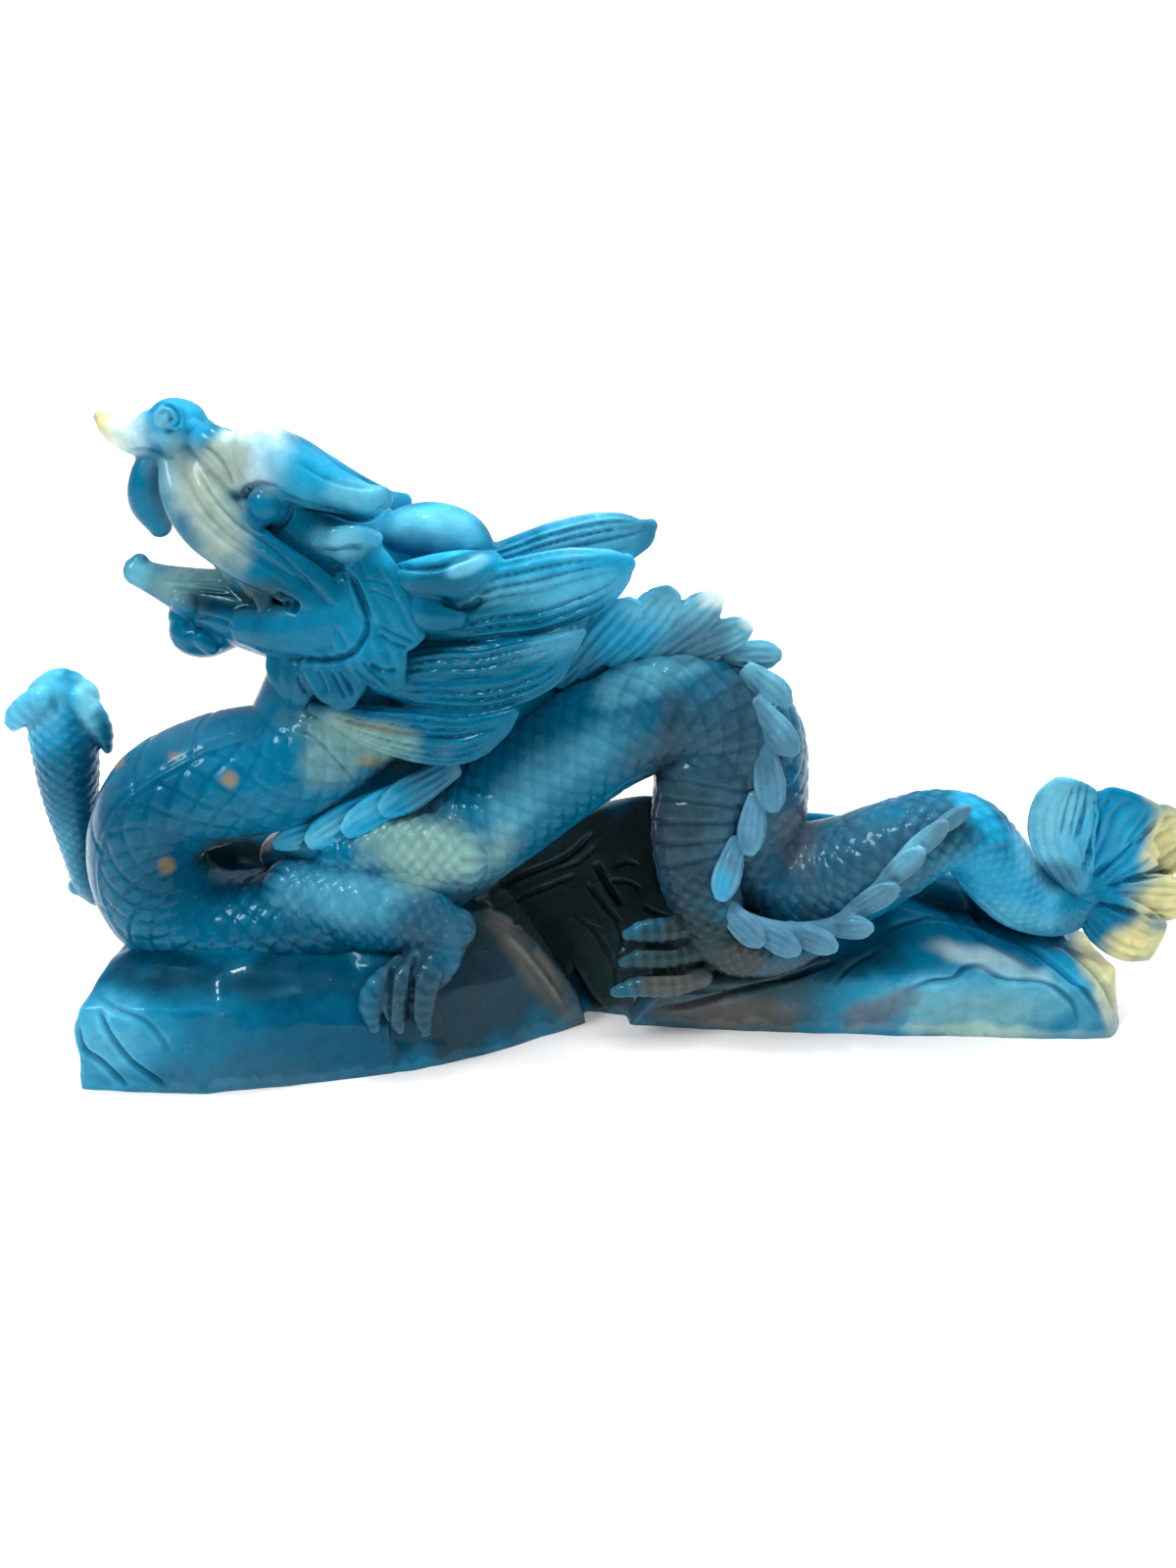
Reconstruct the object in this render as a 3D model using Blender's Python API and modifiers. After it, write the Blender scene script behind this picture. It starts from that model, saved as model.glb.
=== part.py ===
"""Dragon statue carved from one block of blue stone: dragon and rock base are a single solid."""

import math

import bmesh
import bpy
import numpy as np
from mathutils import Vector

# Driving sizes, in metres
STATUE_LENGTH = 0.2225      # from the raised paw to the tail tuft's tips
CARVING_GRAIN = 0.0008      # finest form kept where the forms run together
LEAF_THICKNESS = 0.0012     # half the thickness of a leaf of the crest
LEAF_LIFT = 0.0010          # how far a lying leaf's tip stands off the body
RIBBON_WIDTH = 0.0014       # half the width of the band along the tail, under its leaves
ROCK_SINK = 0.0040          # the forms run this far below the floor before it is cut flat
HEAD_LEAN = 0.25            # fall of the head's far side, as a share of its distance from the middle
FACE_COUNT = 9400           # triangles kept on the finished solid
SOFTENING = 0.5             # how far each smoothing round evens out the grain
SOFTENING_ROUNDS = 2
SHARP_EDGE = math.radians(40)

STONE_BLUE = (0.04, 0.31, 0.47, 1.0)
STONE_ROUGHNESS = 0.28

# The front view: a step is a millimetre of the statue at its real length
STEP = STATUE_LENGTH / 222.5
VIEW_MIDDLE = (600, 800)
VIEW_FOCUS = 1500.0
VIEW_TILT = math.radians(23.3)
EYE_BACK = 250 * STEP
EYE_UP = 153 * STEP

# The tables are drawn on the front view, a picture of 1200 x 1600 pixels that shows the statue from a little
# above. A row of a form is a place on its middle line and its half sizes there: (column, row, depth, half
# height, half depth), all in pixels but the depth behind the statue's middle plane, which is in steps.
BODY = [
    (425, 655, 0, 56, 56), (368, 722, -2, 62, 64), (300, 775, -5, 63, 68),
    (228, 793, -8, 66, 70), (170, 820, -9, 62, 70), (150, 868, -9, 57, 68),
    (168, 915, -9, 58, 66), (218, 940, -9, 52, 62), (290, 936, -9, 52, 60),
    (370, 915, -8, 54, 60), (445, 872, -6, 58, 60), (525, 812, -3, 60, 62),
    (622, 742, 0, 62, 64), (695, 722, 2, 63, 66), (752, 752, 3, 66, 68),
    (765, 810, 3, 60, 64), (765, 860, 2, 52, 58), (795, 895, 0, 56, 55),
    (850, 893, -3, 58, 55), (905, 870, -6, 52, 50), (950, 850, -7, 44, 46),
    (988, 852, -7, 40, 42), (1015, 882, -6, 40, 40), (1045, 912, -5, 37, 37),
    (1080, 922, -4, 31, 33), (1110, 908, -3, 22, 24),
]

# Forms of the head that lie on its middle plane
HEAD_MIDDLE = {
    "snout": [(186, 455, 0, 26, 30), (205, 482, 0, 36, 42), (240, 525, 0, 48, 54), (285, 570, 0, 56, 62),
              (330, 620, 0, 52, 62), (360, 650, 0, 40, 50)],
    "nose": [(158, 440, 0, 22, 24), (174, 438, 0, 31, 36), (192, 441, 0, 30, 34), (204, 446, 0, 20, 24)],
    "lip_tip": [(178, 456, 0, 18, 26), (150, 450, 0, 18, 24), (126, 442, 0, 17, 19), (110, 433, 0, 13, 13),
                (102, 426, 0, 7, 7)],
    "front_fang": [(160, 462, -1, 14, 14), (150, 485, -1, 16, 22), (152, 512, -1, 20, 20),
                   (164, 538, -1, 12, 10)],
    "skull": [(240, 475, 0, 26, 40), (275, 490, 0, 48, 56), (325, 540, 0, 62, 66), (380, 590, 0, 66, 68),
              (430, 620, 0, 55, 60)],
    "forehead": [(238, 458, 0, 14, 18), (262, 455, 0, 22, 26), (300, 468, 0, 22, 22), (345, 495, 0, 14, 14),
                 (380, 510, 0, 10, 10)],
    "jaw": [(330, 640, 0, 44, 58), (285, 628, 0, 44, 54), (240, 618, 0, 38, 44), (200, 606, 0, 27, 32),
            (165, 594, 0, 18, 22), (140, 584, 0, 14, 14)],
    "jaw_tip": [(152, 588, 0, 15, 14), (140, 582, 0, 14, 14), (143, 574, 0, 9, 9)],
    "chin": [(188, 628, 0, 16, 22), (196, 642, 0, 24, 30), (212, 646, 0, 24, 30), (236, 640, 0, 20, 32)],
    "throat": [(330, 660, 0, 40, 52), (316, 695, -1, 42, 54), (300, 735, -2, 44, 56)],
    "mane_core": [(380, 600, 0, 50, 60), (430, 610, 0, 62, 66), (500, 610, 0, 52, 60),
                  (560, 605, 0, 40, 46), (610, 590, 0, 20, 26)],
    "curl_top": [(395, 562, -2, 14, 22), (404, 545, -3, 22, 32), (438, 540, -3, 27, 38),
                 (472, 550, -3, 26, 36), (494, 570, -3, 17, 26)],
    "lock_crown": [(470, 585, -3, 20, 20), (520, 576, -4, 26, 20), (570, 563, -4, 31, 17),
                   (620, 552, -5, 30, 13), (652, 544, -5, 19, 8), (666, 535, -5, 7, 5)],
    "loop_web": [(284, 866, -2, 16, 24), (316, 856, -6, 24, 32), (355, 840, -7, 32, 36),
                 (412, 812, -4, 38, 38)],
    "loop_back": [(212, 868, 8, 18, 14), (250, 868, 8, 22, 16), (290, 862, 6, 26, 20)],
    "nape": [(395, 790, 3, 30, 34), (440, 745, 3, 52, 40), (500, 700, 3, 56, 40), (560, 650, 3, 40, 34),
             (600, 615, 2, 20, 22)],
}

# Forms of the head that are carved on both sides; only the near one is listed
HEAD_PAIRED = {
    "nostril": [(166, 428, -6.5, 9, 9), (172, 418, -7, 8, 8), (182, 420, -7, 7, 7), (184, 430, -7, 6, 6),
                (176, 434, -7, 5, 5)],
    "lip_strand": [(172, 470, -4, 12, 10), (182, 505, -7, 19, 14), (208, 542, -9.5, 22, 14),
                   (246, 572, -12, 20, 13), (288, 596, -13.5, 17, 12), (326, 622, -14, 16, 12),
                   (350, 650, -14, 14, 11)],
    "whisker_strand": [(196, 462, -4, 10, 9), (212, 498, -8, 15, 12), (244, 536, -11, 15, 12),
                       (286, 566, -13, 13, 11), (326, 592, -14, 12, 10), (356, 626, -14.5, 11, 10),
                       (362, 652, -14, 8, 8)],
    "snout_bridge": [(200, 442, -4, 14, 14), (214, 452, -6, 20, 18), (232, 468, -7, 22, 20),
                     (244, 490, -8, 16, 16)],
    "brow": [(246, 466, -6, 26, 20), (268, 468, -7.5, 35, 26), (302, 484, -9.5, 31, 24),
             (340, 500, -12, 23, 18), (370, 510, -13, 18, 14), (392, 508, -13.5, 11, 8)],
    "eye": [(258, 515, -8.5, 14, 14), (272, 516, -9.3, 22, 20), (288, 518, -8.8, 13, 13)],
    "ear_top": [(322, 554, -15, 5, 6), (342, 548, -16, 11, 8), (366, 546, -16, 10, 8),
                (384, 550, -15, 8, 7)],
    "ear_bottom": [(334, 562, -15, 6, 6), (352, 564, -15.5, 13, 8), (370, 560, -15, 9, 7)],
    "cheek": [(252, 640, -9, 20, 18), (290, 644, -12, 30, 22), (328, 640, -13, 36, 22),
              (354, 622, -13, 28, 20), (356, 596, -13, 16, 14)],
    "chin_curl": [(206, 652, -5, 10, 9), (216, 660, -5, 9, 9)],
    "jaw_ball": [(184, 616, -6, 11, 10), (192, 617, -6, 11, 10)],
    "tooth": [(262, 592, -11.5, 14, 8), (268, 606, -12, 12, 8), (270, 620, -12, 8, 7),
              (269, 632, -12, 4, 4)],
    "frill_upper": [(366, 560, -14, 16, 10), (384, 596, -15.5, 22, 10), (402, 630, -16.5, 22, 9),
                    (422, 655, -17, 12, 6)],
    "frill_mid": [(350, 610, -14, 20, 10), (372, 645, -16, 26, 10), (390, 678, -17, 22, 9),
                  (403, 699, -17, 10, 6)],
    "frill_low": [(334, 640, -13, 22, 12), (342, 676, -15.5, 26, 11), (348, 704, -16.5, 20, 9),
                  (352, 718, -16.5, 9, 6)],
    "frill_front": [(308, 650, -11, 22, 12), (304, 684, -13.5, 24, 11), (304, 704, -14, 16, 9),
                    (306, 714, -14, 8, 6)],
    "curl_mid": [(398, 592, -13, 14, 14), (430, 590, -15, 22, 20), (470, 586, -16, 25, 20),
                 (500, 578, -14, 17, 16)],
    "curl_low": [(412, 612, -14, 16, 14), (438, 624, -16, 22, 16), (466, 628, -16, 15, 12)],
    "lock_upper": [(440, 634, -11, 22, 14), (490, 618, -14, 38, 15), (545, 608, -15, 43, 14),
                   (595, 594, -16, 38, 12), (628, 580, -17, 22, 9), (642, 573, -17, 9, 6)],
    "lock_middle": [(385, 690, -12, 18, 12), (440, 692, -14, 32, 14), (500, 690, -16, 35, 13),
                    (548, 676, -17, 30, 11), (580, 656, -18, 14, 8), (595, 645, -18, 5, 5)],
    "lock_lower": [(322, 722, -11, 9, 9), (370, 738, -14, 20, 11), (420, 749, -15, 28, 12),
                   (468, 752, -16, 28, 12), (505, 740, -17, 17, 9), (525, 727, -18, 6, 5)],
}

# Legs: the near foreleg and hind leg stand on the rock, the far foreleg is raised before the chest
LEGS = {
    "arm_upper": [(350, 870, -10, 30, 30), (400, 866, -11.5, 36, 30), (445, 869, -12.5, 42, 30),
                  (476, 872, -13, 35, 26)],
    "arm_fore": [(300, 912, -12, 40, 34), (350, 924, -14.5, 43, 34), (405, 934, -16.5, 41, 34),
                 (445, 944, -18, 34, 28), (466, 948, -18.5, 22, 20)],
    "arm_shin": [(455, 948, -19, 26, 22), (445, 980, -21, 24, 20), (425, 1000, -23, 24, 16)],
    "front_toe_a": [(448, 975, -22, 12, 12), (436, 1000, -25, 14, 12), (430, 1025, -26, 14, 11),
                    (434, 1052, -26, 7, 7)],
    "front_toe_b": [(426, 978, -23, 11, 11), (408, 1003, -26, 12, 11), (402, 1025, -27, 12, 10),
                    (408, 1050, -27, 6, 6)],
    "front_toe_c": [(408, 985, -23, 11, 11), (388, 1005, -26, 13, 11), (378, 1025, -27, 12, 10),
                    (382, 1048, -27, 6, 6)],
    "thigh": [(738, 745, -1, 42, 40), (724, 788, -3, 54, 46), (712, 835, -6, 48, 42),
              (710, 880, -8.5, 43, 36), (722, 925, -11, 37, 32), (732, 958, -12, 30, 26)],
    "heel": [(722, 950, -12, 28, 24), (752, 967, -13, 31, 24), (795, 972, -13, 25, 20),
             (832, 966, -13, 12, 10)],
    "hind_toe_a": [(712, 944, -12, 12, 12), (680, 949, -14, 13, 12), (655, 951, -15, 12, 10),
                   (640, 954, -15, 6, 6)],
    "hind_toe_b": [(712, 970, -13, 12, 12), (680, 976, -15, 13, 12), (655, 978, -16, 12, 10),
                   (636, 982, -16, 6, 6)],
    "hind_toe_c": [(716, 996, -14, 12, 12), (686, 1004, -16, 14, 12), (655, 1006, -17, 12, 10),
                   (628, 1012, -17, 6, 6)],
    "far_thigh": [(740, 729, 6.5, 34, 33), (721, 757, 10, 44, 38), (705, 796, 12, 39, 33),
                  (701, 835, 13, 32, 29), (708, 872, 13.5, 30, 28), (720, 900, 13.5, 25, 24)],
    "far_heel": [(666, 914, 13.5, 9, 11), (698, 909, 14, 17, 16), (735, 911, 14, 22, 20),
                 (779, 911, 14, 13, 13)],
    "far_arm": [(150, 880, 4, 24, 24), (112, 900, 8, 23, 24), (95, 892, 9, 22, 24), (84, 862, 9, 23, 24),
                (74, 822, 9, 27, 26), (68, 780, 8, 33, 28), (64, 745, 8, 35, 28), (62, 718, 8, 30, 26)],
    "far_elbow": [(118, 905, 9, 16, 18), (98, 903, 9, 21, 22), (80, 903, 9, 10, 12)],
    "far_palm": [(40, 722, 8, 20, 20), (58, 708, 8, 24, 24), (82, 712, 8, 20, 20)],
    "far_toe_a": [(46, 712, 5, 14, 14), (28, 722, 5, 14, 13), (16, 734, 6, 12, 11), (14, 742, 7, 6, 6)],
    "far_toe_b": [(40, 704, 8, 10, 12), (58, 694, 8, 12, 14), (76, 696, 8, 10, 12), (88, 702, 8, 6, 8)],
    "far_toe_c": [(80, 712, 6, 12, 12), (94, 728, 6, 14, 12), (104, 746, 7, 12, 10), (110, 764, 8, 5, 6)],
}

# The tail's tuft is a fan of five leaves
TUFT = {
    "tuft_core": [(1080, 915, -4, 20, 24), (1104, 906, -3, 27, 26), (1122, 902, -3, 16, 18)],
    "tuft_a": [(1098, 900, -6, 12, 10), (1086, 872, -9, 30, 12), (1084, 840, -10, 36, 11),
               (1096, 808, -10, 28, 9), (1106, 792, -9, 14, 6)],
    "tuft_b": [(1104, 902, -2, 16, 10), (1126, 864, -3, 33, 11), (1148, 830, -4, 35, 10),
               (1168, 808, -4, 19, 7)],
    "tuft_c": [(1106, 906, 0, 14, 10), (1142, 882, 0, 30, 10), (1178, 862, 0, 36, 9),
               (1206, 848, 0, 24, 6)],
    "tuft_d": [(1108, 908, -3, 12, 9), (1145, 912, -4, 21, 10), (1182, 916, -5, 26, 9),
               (1214, 916, -5, 15, 6)],
    "tuft_e": [(1106, 915, -5, 14, 10), (1132, 938, -7, 29, 11), (1160, 954, -8, 30, 9),
               (1184, 960, -8, 17, 6)],
}

# Rock masses: pixels of each one's corners on the floor, then those of its other corners with their depth
ROCKS = {
    "left_block": ([(79, 1112), (202, 1117), (350, 1102), (384, 971), (163, 976)],
                   [(77, 1046, -31.5), (150, 1050, -33), (219, 1052, -33), (337, 1042, -28.5),
                    (84, 1022, -28.5), (150, 1020, -30.5), (219, 1026, -31), (333, 1019, -27),
                    (106, 990, -22.5), (160, 985, -24), (225, 990, -25), (330, 989, -22.5),
                    (152, 958, -16.5), (234, 955, -17), (330, 958, -16.5), (169, 906, 11), (358, 895, 13)]),
    "front_mound": ([(338, 1104), (430, 1094), (520, 1068), (562, 1047), (603, 1042), (589, 971), (356, 971)],
                    [(500, 927, -13), (525, 940, -13.5), (550, 963, -14), (591, 1018, -11.5),
                     (416, 1041, -24), (465, 970, -17.5), (373, 988, -20.5), (321, 960, -15),
                     (497, 875, 13), (371, 893, 13)]),
    "rock_wall": ([(466, 1015), (643, 1041), (894, 1043), (892, 964), (464, 964)],
                  [(616, 824, 9), (664, 811, 10), (847, 831, 10), (881, 837, 12), (600, 820, 17),
                   (854, 835, 18), (520, 870, 6.5), (464, 880, 7.5), (480, 866, 17.5)]),
    "tail_rest": ([(877, 1009), (1114, 1015), (1099, 981), (865, 971)],
                  [(900, 890, 3), (946, 890, 1.5), (1003, 902, 1), (1081, 932, 0), (1076, 913, 11),
                   (889, 862, 15)]),
    "right_block": ([(627, 1044), (869, 1054), (1000, 1058), (1140, 1060), (1146, 1040), (1110, 979),
                     (892, 964), (624, 964)],
                    [(682, 1005, -13.5), (874, 1000, -13.5), (1002, 997, -14), (1120, 1008, -14),
                     (1137, 988, -8.5), (1106, 950, 8), (935, 931, -5), (867, 905, 0), (1002, 938, 0),
                     (907, 894, 12), (703, 899, 10)]),
}

# Leaves of the crest: pixels of root and tip, half the width in pixels and the depths of root and tip.
# Those on the body have no depths, because they lie where the body shows.
STANDING_LEAVES = [
    ((566, 694), (606, 646), 17, -1, -1), ((586, 684), (650, 613), 18, -1, -1.5),
    ((622, 676), (689, 601), 19, -0.5, -1), ((658, 670), (735, 607), 17, 0, -0.5),
    ((696, 668), (767, 637), 14, 0.5, -1), ((604, 690), (640, 640), 18, 1, 1),
    ((646, 680), (682, 630), 16, 1, 1), ((352, 842), (279, 862), 11, -9, -12),
    ((400, 812), (313, 861), 15, -9, -14), ((428, 800), (350, 850), 14, -10, -14.5),
    ((464, 782), (388, 829), 14, -9, -14.5),
]
LYING_LEAVES = [
    ((740, 662), (796, 670), 12), ((764, 672), (807, 718), 15), ((778, 708), (803, 764), 14),
    ((776, 748), (778, 820), 15), ((770, 798), (752, 860), 14), ((750, 846), (736, 902), 14),
    ((740, 892), (735, 932), 12), ((738, 924), (774, 954), 12), ((766, 942), (810, 962), 11),
    ((800, 948), (850, 961), 11), ((840, 948), (886, 930), 9), ((866, 934), (914, 888), 9),
    ((894, 904), (940, 854), 9), ((922, 872), (956, 836), 9), ((944, 850), (988, 825), 7),
]
# Sections of a leaf: share of its length, of its half width and of its thickness
LEAF_OUTLINE = [(0.0, 0.72, 0.9), (0.3, 1.0, 1.0), (0.6, 0.95, 1.0), (0.82, 0.68, 0.8), (0.96, 0.30, 0.6)]

# The band that runs along the tail under its leaves, by pixels of the front view
TAIL_RIBBON = [(738, 915), (752, 936), (785, 950), (822, 953), (856, 945), (888, 920), (912, 892), (936, 862),
               (960, 842), (984, 829)]

# Locks, frills and leaves are slabs more than rods: the power that squares their section
LOCK_SLAB = 0.7
LEAF_SLAB = 0.8

SEGMENTS_ROUND = 20
RINGS_PER_ROW = 5
CAP_RINGS = 5
CURVE_SAMPLES = 24
SKIN_SAMPLES = 400
SKIN_TURNS = 72
SKIN_REACH = 4.0   # a leaf's root looks for the body within this many pixels


def view_ray(column, row):
    """The direction from the eye to a pixel of the front view, one step of focus ahead."""
    across = (column - VIEW_MIDDLE[0]) / VIEW_FOCUS
    down = (row - VIEW_MIDDLE[1]) / VIEW_FOCUS
    ahead = math.cos(VIEW_TILT) - down * math.sin(VIEW_TILT)
    return np.array([across, ahead, -math.sin(VIEW_TILT) - down * math.cos(VIEW_TILT)])


def from_view(column, row, depth):
    """The place seen at a pixel at a depth in steps, and the size of a pixel there, in metres."""
    ray = view_ray(column, row)
    reach = (depth * STEP + EYE_BACK) / ray[1]
    return np.array([0, -EYE_BACK, EYE_UP]) + ray * reach, reach / VIEW_FOCUS


def on_floor(column, row):
    """The place on the floor seen at a pixel, in metres."""
    ray = view_ray(column, row)
    return np.array([0, -EYE_BACK, EYE_UP]) - ray * EYE_UP / ray[2]


def front_view(points):
    """The pixels at which places show in the front view."""
    x, y, z = (points - np.array([0, -EYE_BACK, EYE_UP])).T
    ahead = y * math.cos(VIEW_TILT) - z * math.sin(VIEW_TILT)
    down = -z * math.cos(VIEW_TILT) - y * math.sin(VIEW_TILT)
    return np.array(VIEW_MIDDLE) + VIEW_FOCUS * np.stack([x / ahead, down / ahead], axis=1)


def smooth_path(rows, count):
    """Even samples of a smooth curve through the rows, every column alike."""
    rows = np.array(rows, float)
    knots = np.vstack([2 * rows[0] - rows[1], rows, 2 * rows[-1] - rows[-2]])
    fine = []
    for i in range(1, len(knots) - 2):
        p0, p1, p2, p3 = knots[i - 1:i + 3]
        u = np.linspace(0, 1, CURVE_SAMPLES, endpoint=False)[:, None]
        fine.append(0.5 * (2 * p1 + (p2 - p0) * u + (2 * p0 - 5 * p1 + 4 * p2 - p3) * u ** 2
                           + (3 * p1 - p0 - 3 * p2 + p3) * u ** 3))
    fine = np.vstack(fine + [rows[-1:]])
    run = np.r_[0, np.cumsum(np.linalg.norm(np.diff(fine[:, :3], axis=0), axis=1))]
    even = np.linspace(0, run[-1], count)
    return np.stack([np.interp(even, run, fine[:, k]) for k in range(rows.shape[1])], axis=1)


def frames(path, flat=(0, 1, 0)):
    """Along, across and depth directions at each sample of a path; depth keeps closest to flat."""
    along = np.gradient(path[:, :3], axis=0)
    along /= np.linalg.norm(along, axis=1)[:, None]
    flat = np.broadcast_to(np.array(flat, float), along.shape)
    depth = flat - np.sum(flat * along, axis=1)[:, None] * along
    depth /= np.linalg.norm(depth, axis=1)[:, None]
    return along, np.cross(along, depth), depth


def squared(value, power):
    """A sine or cosine raised to a power with its sign kept."""
    return math.copysign(abs(value) ** power, value)


def add_form(bm, rows, flat=(0, 1, 0), slab=1.0):
    """Adds a sphere drawn out along a path; rows are in metres. A slab under 1 squares its oval section."""
    count = RINGS_PER_ROW * (len(rows) - 1) + 1
    path = smooth_path(rows, count)
    along, across, depth = frames(path, flat)
    rings = count + 2 * CAP_RINGS - 1
    form = bmesh.new()
    bmesh.ops.create_uvsphere(form, u_segments=SEGMENTS_ROUND, v_segments=rings, radius=1.0)
    for v in form.verts:
        ring = round(math.acos(max(-1.0, min(1.0, v.co.z))) / math.pi * rings)
        turn = math.atan2(v.co.y, v.co.x)
        place = min(max(ring - CAP_RINGS, 0), count - 1)
        over = max(CAP_RINGS - ring, ring - CAP_RINGS - count + 1, 0) / CAP_RINGS * math.pi / 2
        side = -1 if ring < CAP_RINGS else 1
        half_height, half_depth = path[place, 3:5]
        bulge = side * min(half_height, half_depth) * math.sin(over)
        v.co = Vector(path[place, :3] + along[place] * bulge
                      + across[place] * half_height * math.cos(over) * squared(math.cos(turn), slab)
                      - depth[place] * half_depth * math.cos(over) * squared(math.sin(turn), slab))
    mesh = bpy.data.meshes.new("form")
    form.to_mesh(mesh)
    form.free()
    bm.from_mesh(mesh)
    bpy.data.meshes.remove(mesh)


def to_metres(rows, mirrored=False):
    """A form's rows in metres, on the far side of the head's middle plane if mirrored.

    The head leans towards the viewer's other side, so its far side lies a little lower.
    """
    made = []
    for column, row, depth, half_height, half_depth in rows:
        place, pixel = from_view(column, row, depth)
        if mirrored:
            place[1] *= -1
            place[2] -= 2 * HEAD_LEAN * place[1]
        made.append((*place, half_height * pixel, half_depth * pixel))
    return made


def add_rock(bm, foot, corners):
    """Adds a faceted mass of rock that runs below the floor."""
    verts = []
    for column, row in foot:
        x, y = on_floor(column, row)[:2]
        verts.append(bm.verts.new((x, y, -ROCK_SINK)))
    for column, row, depth in corners:
        verts.append(bm.verts.new(from_view(column, row, depth)[0]))
    bmesh.ops.convex_hull(bm, input=verts)


def body_skin():
    """Places on the body's surface, the pixels that they show at and their outward directions."""
    path = smooth_path(to_metres(BODY), SKIN_SAMPLES)
    along, across, depth = frames(path)
    places = []
    outward = []
    for turn in np.arange(SKIN_TURNS) * 2 * math.pi / SKIN_TURNS:
        out = (across * path[:, 3:4] * math.cos(turn) - depth * path[:, 4:5] * math.sin(turn))
        places.append(path[:, :3] + out)
        outward.append(out / np.linalg.norm(out, axis=1)[:, None])
    places = np.vstack(places)
    return places, front_view(places), np.vstack(outward)


def seen_on(skin, pixel):
    """The place of the body that shows nearest a pixel, and its outward direction."""
    places, view, outward = skin
    off = np.linalg.norm(view - np.array(pixel), axis=1)
    near = np.nonzero(off < off.min() + SKIN_REACH)[0]
    nearest = near[np.argmin(np.linalg.norm(places[near] - np.array([0, -EYE_BACK, EYE_UP]), axis=1))]
    return places[nearest], outward[nearest]


def add_leaf(bm, start, end, half_width, flat):
    """Adds a pointed leaf of the crest from its root to its tip."""
    rows = []
    for share, width, thickness in LEAF_OUTLINE:
        rows.append((*(start + (end - start) * share), half_width * width, LEAF_THICKNESS * thickness))
    add_form(bm, rows, flat, LEAF_SLAB)


def add_crest(bm):
    """Adds the leaves of the crest and the band along the tail."""
    for root, tip, half_width, root_depth, tip_depth in STANDING_LEAVES:
        start = from_view(*root, root_depth)[0]
        end, pixel = from_view(*tip, tip_depth)
        add_leaf(bm, start, end, half_width * pixel, (0, 1, 0))
    skin = body_skin()
    for root, tip, half_width in LYING_LEAVES:
        start, out = seen_on(skin, root)
        touch, out_end = seen_on(skin, tip)
        end, pixel = from_view(*tip, touch[1] / STEP)
        out = (out + out_end) / np.linalg.norm(out + out_end)
        add_leaf(bm, start, end + out * LEAF_LIFT, half_width * pixel, out)
    ribbon = [(*seen_on(skin, spot)[0], RIBBON_WIDTH, RIBBON_WIDTH) for spot in TAIL_RIBBON]
    add_form(bm, ribbon)


def build_forms():
    """All forms of the statue, each a closed shell, in one mesh."""
    bm = bmesh.new()
    add_form(bm, to_metres(BODY))
    for table in (HEAD_MIDDLE, LEGS, TUFT):
        for rows in table.values():
            add_form(bm, to_metres(rows))
    for name, rows in HEAD_PAIRED.items():
        slab = LOCK_SLAB if name.startswith(("lock", "frill")) else 1.0
        add_form(bm, to_metres(rows), slab=slab)
        add_form(bm, to_metres(rows, mirrored=True), slab=slab)
    add_crest(bm)
    for foot, corners in ROCKS.values():
        add_rock(bm, foot, corners)
    bmesh.ops.recalc_face_normals(bm, faces=bm.faces)
    mesh = bpy.data.meshes.new("dragon_statue")
    bm.to_mesh(mesh)
    bm.free()
    return mesh


def stone_material():
    """Polished blue stone."""
    material = bpy.data.materials.new("blue_stone")
    material.use_nodes = True
    shader = material.node_tree.nodes["Principled BSDF"]
    shader.inputs["Base Color"].default_value = STONE_BLUE
    shader.inputs["Roughness"].default_value = STONE_ROUGHNESS
    shader.inputs["Metallic"].default_value = 0.0
    return material


def floor_cutter(collection):
    """A slab below the floor, which cuts the underside flat."""
    bpy.ops.mesh.primitive_cube_add(size=1.0, location=(0, 0, -STATUE_LENGTH / 2))
    cutter = bpy.context.object
    cutter.name = "floor_cutter"
    cutter.scale = (2 * STATUE_LENGTH, STATUE_LENGTH, STATUE_LENGTH)
    cutter.hide_render = True
    cutter.display_type = "WIRE"
    for old in cutter.users_collection:
        old.objects.unlink(cutter)
    collection.objects.link(cutter)
    return cutter


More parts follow.
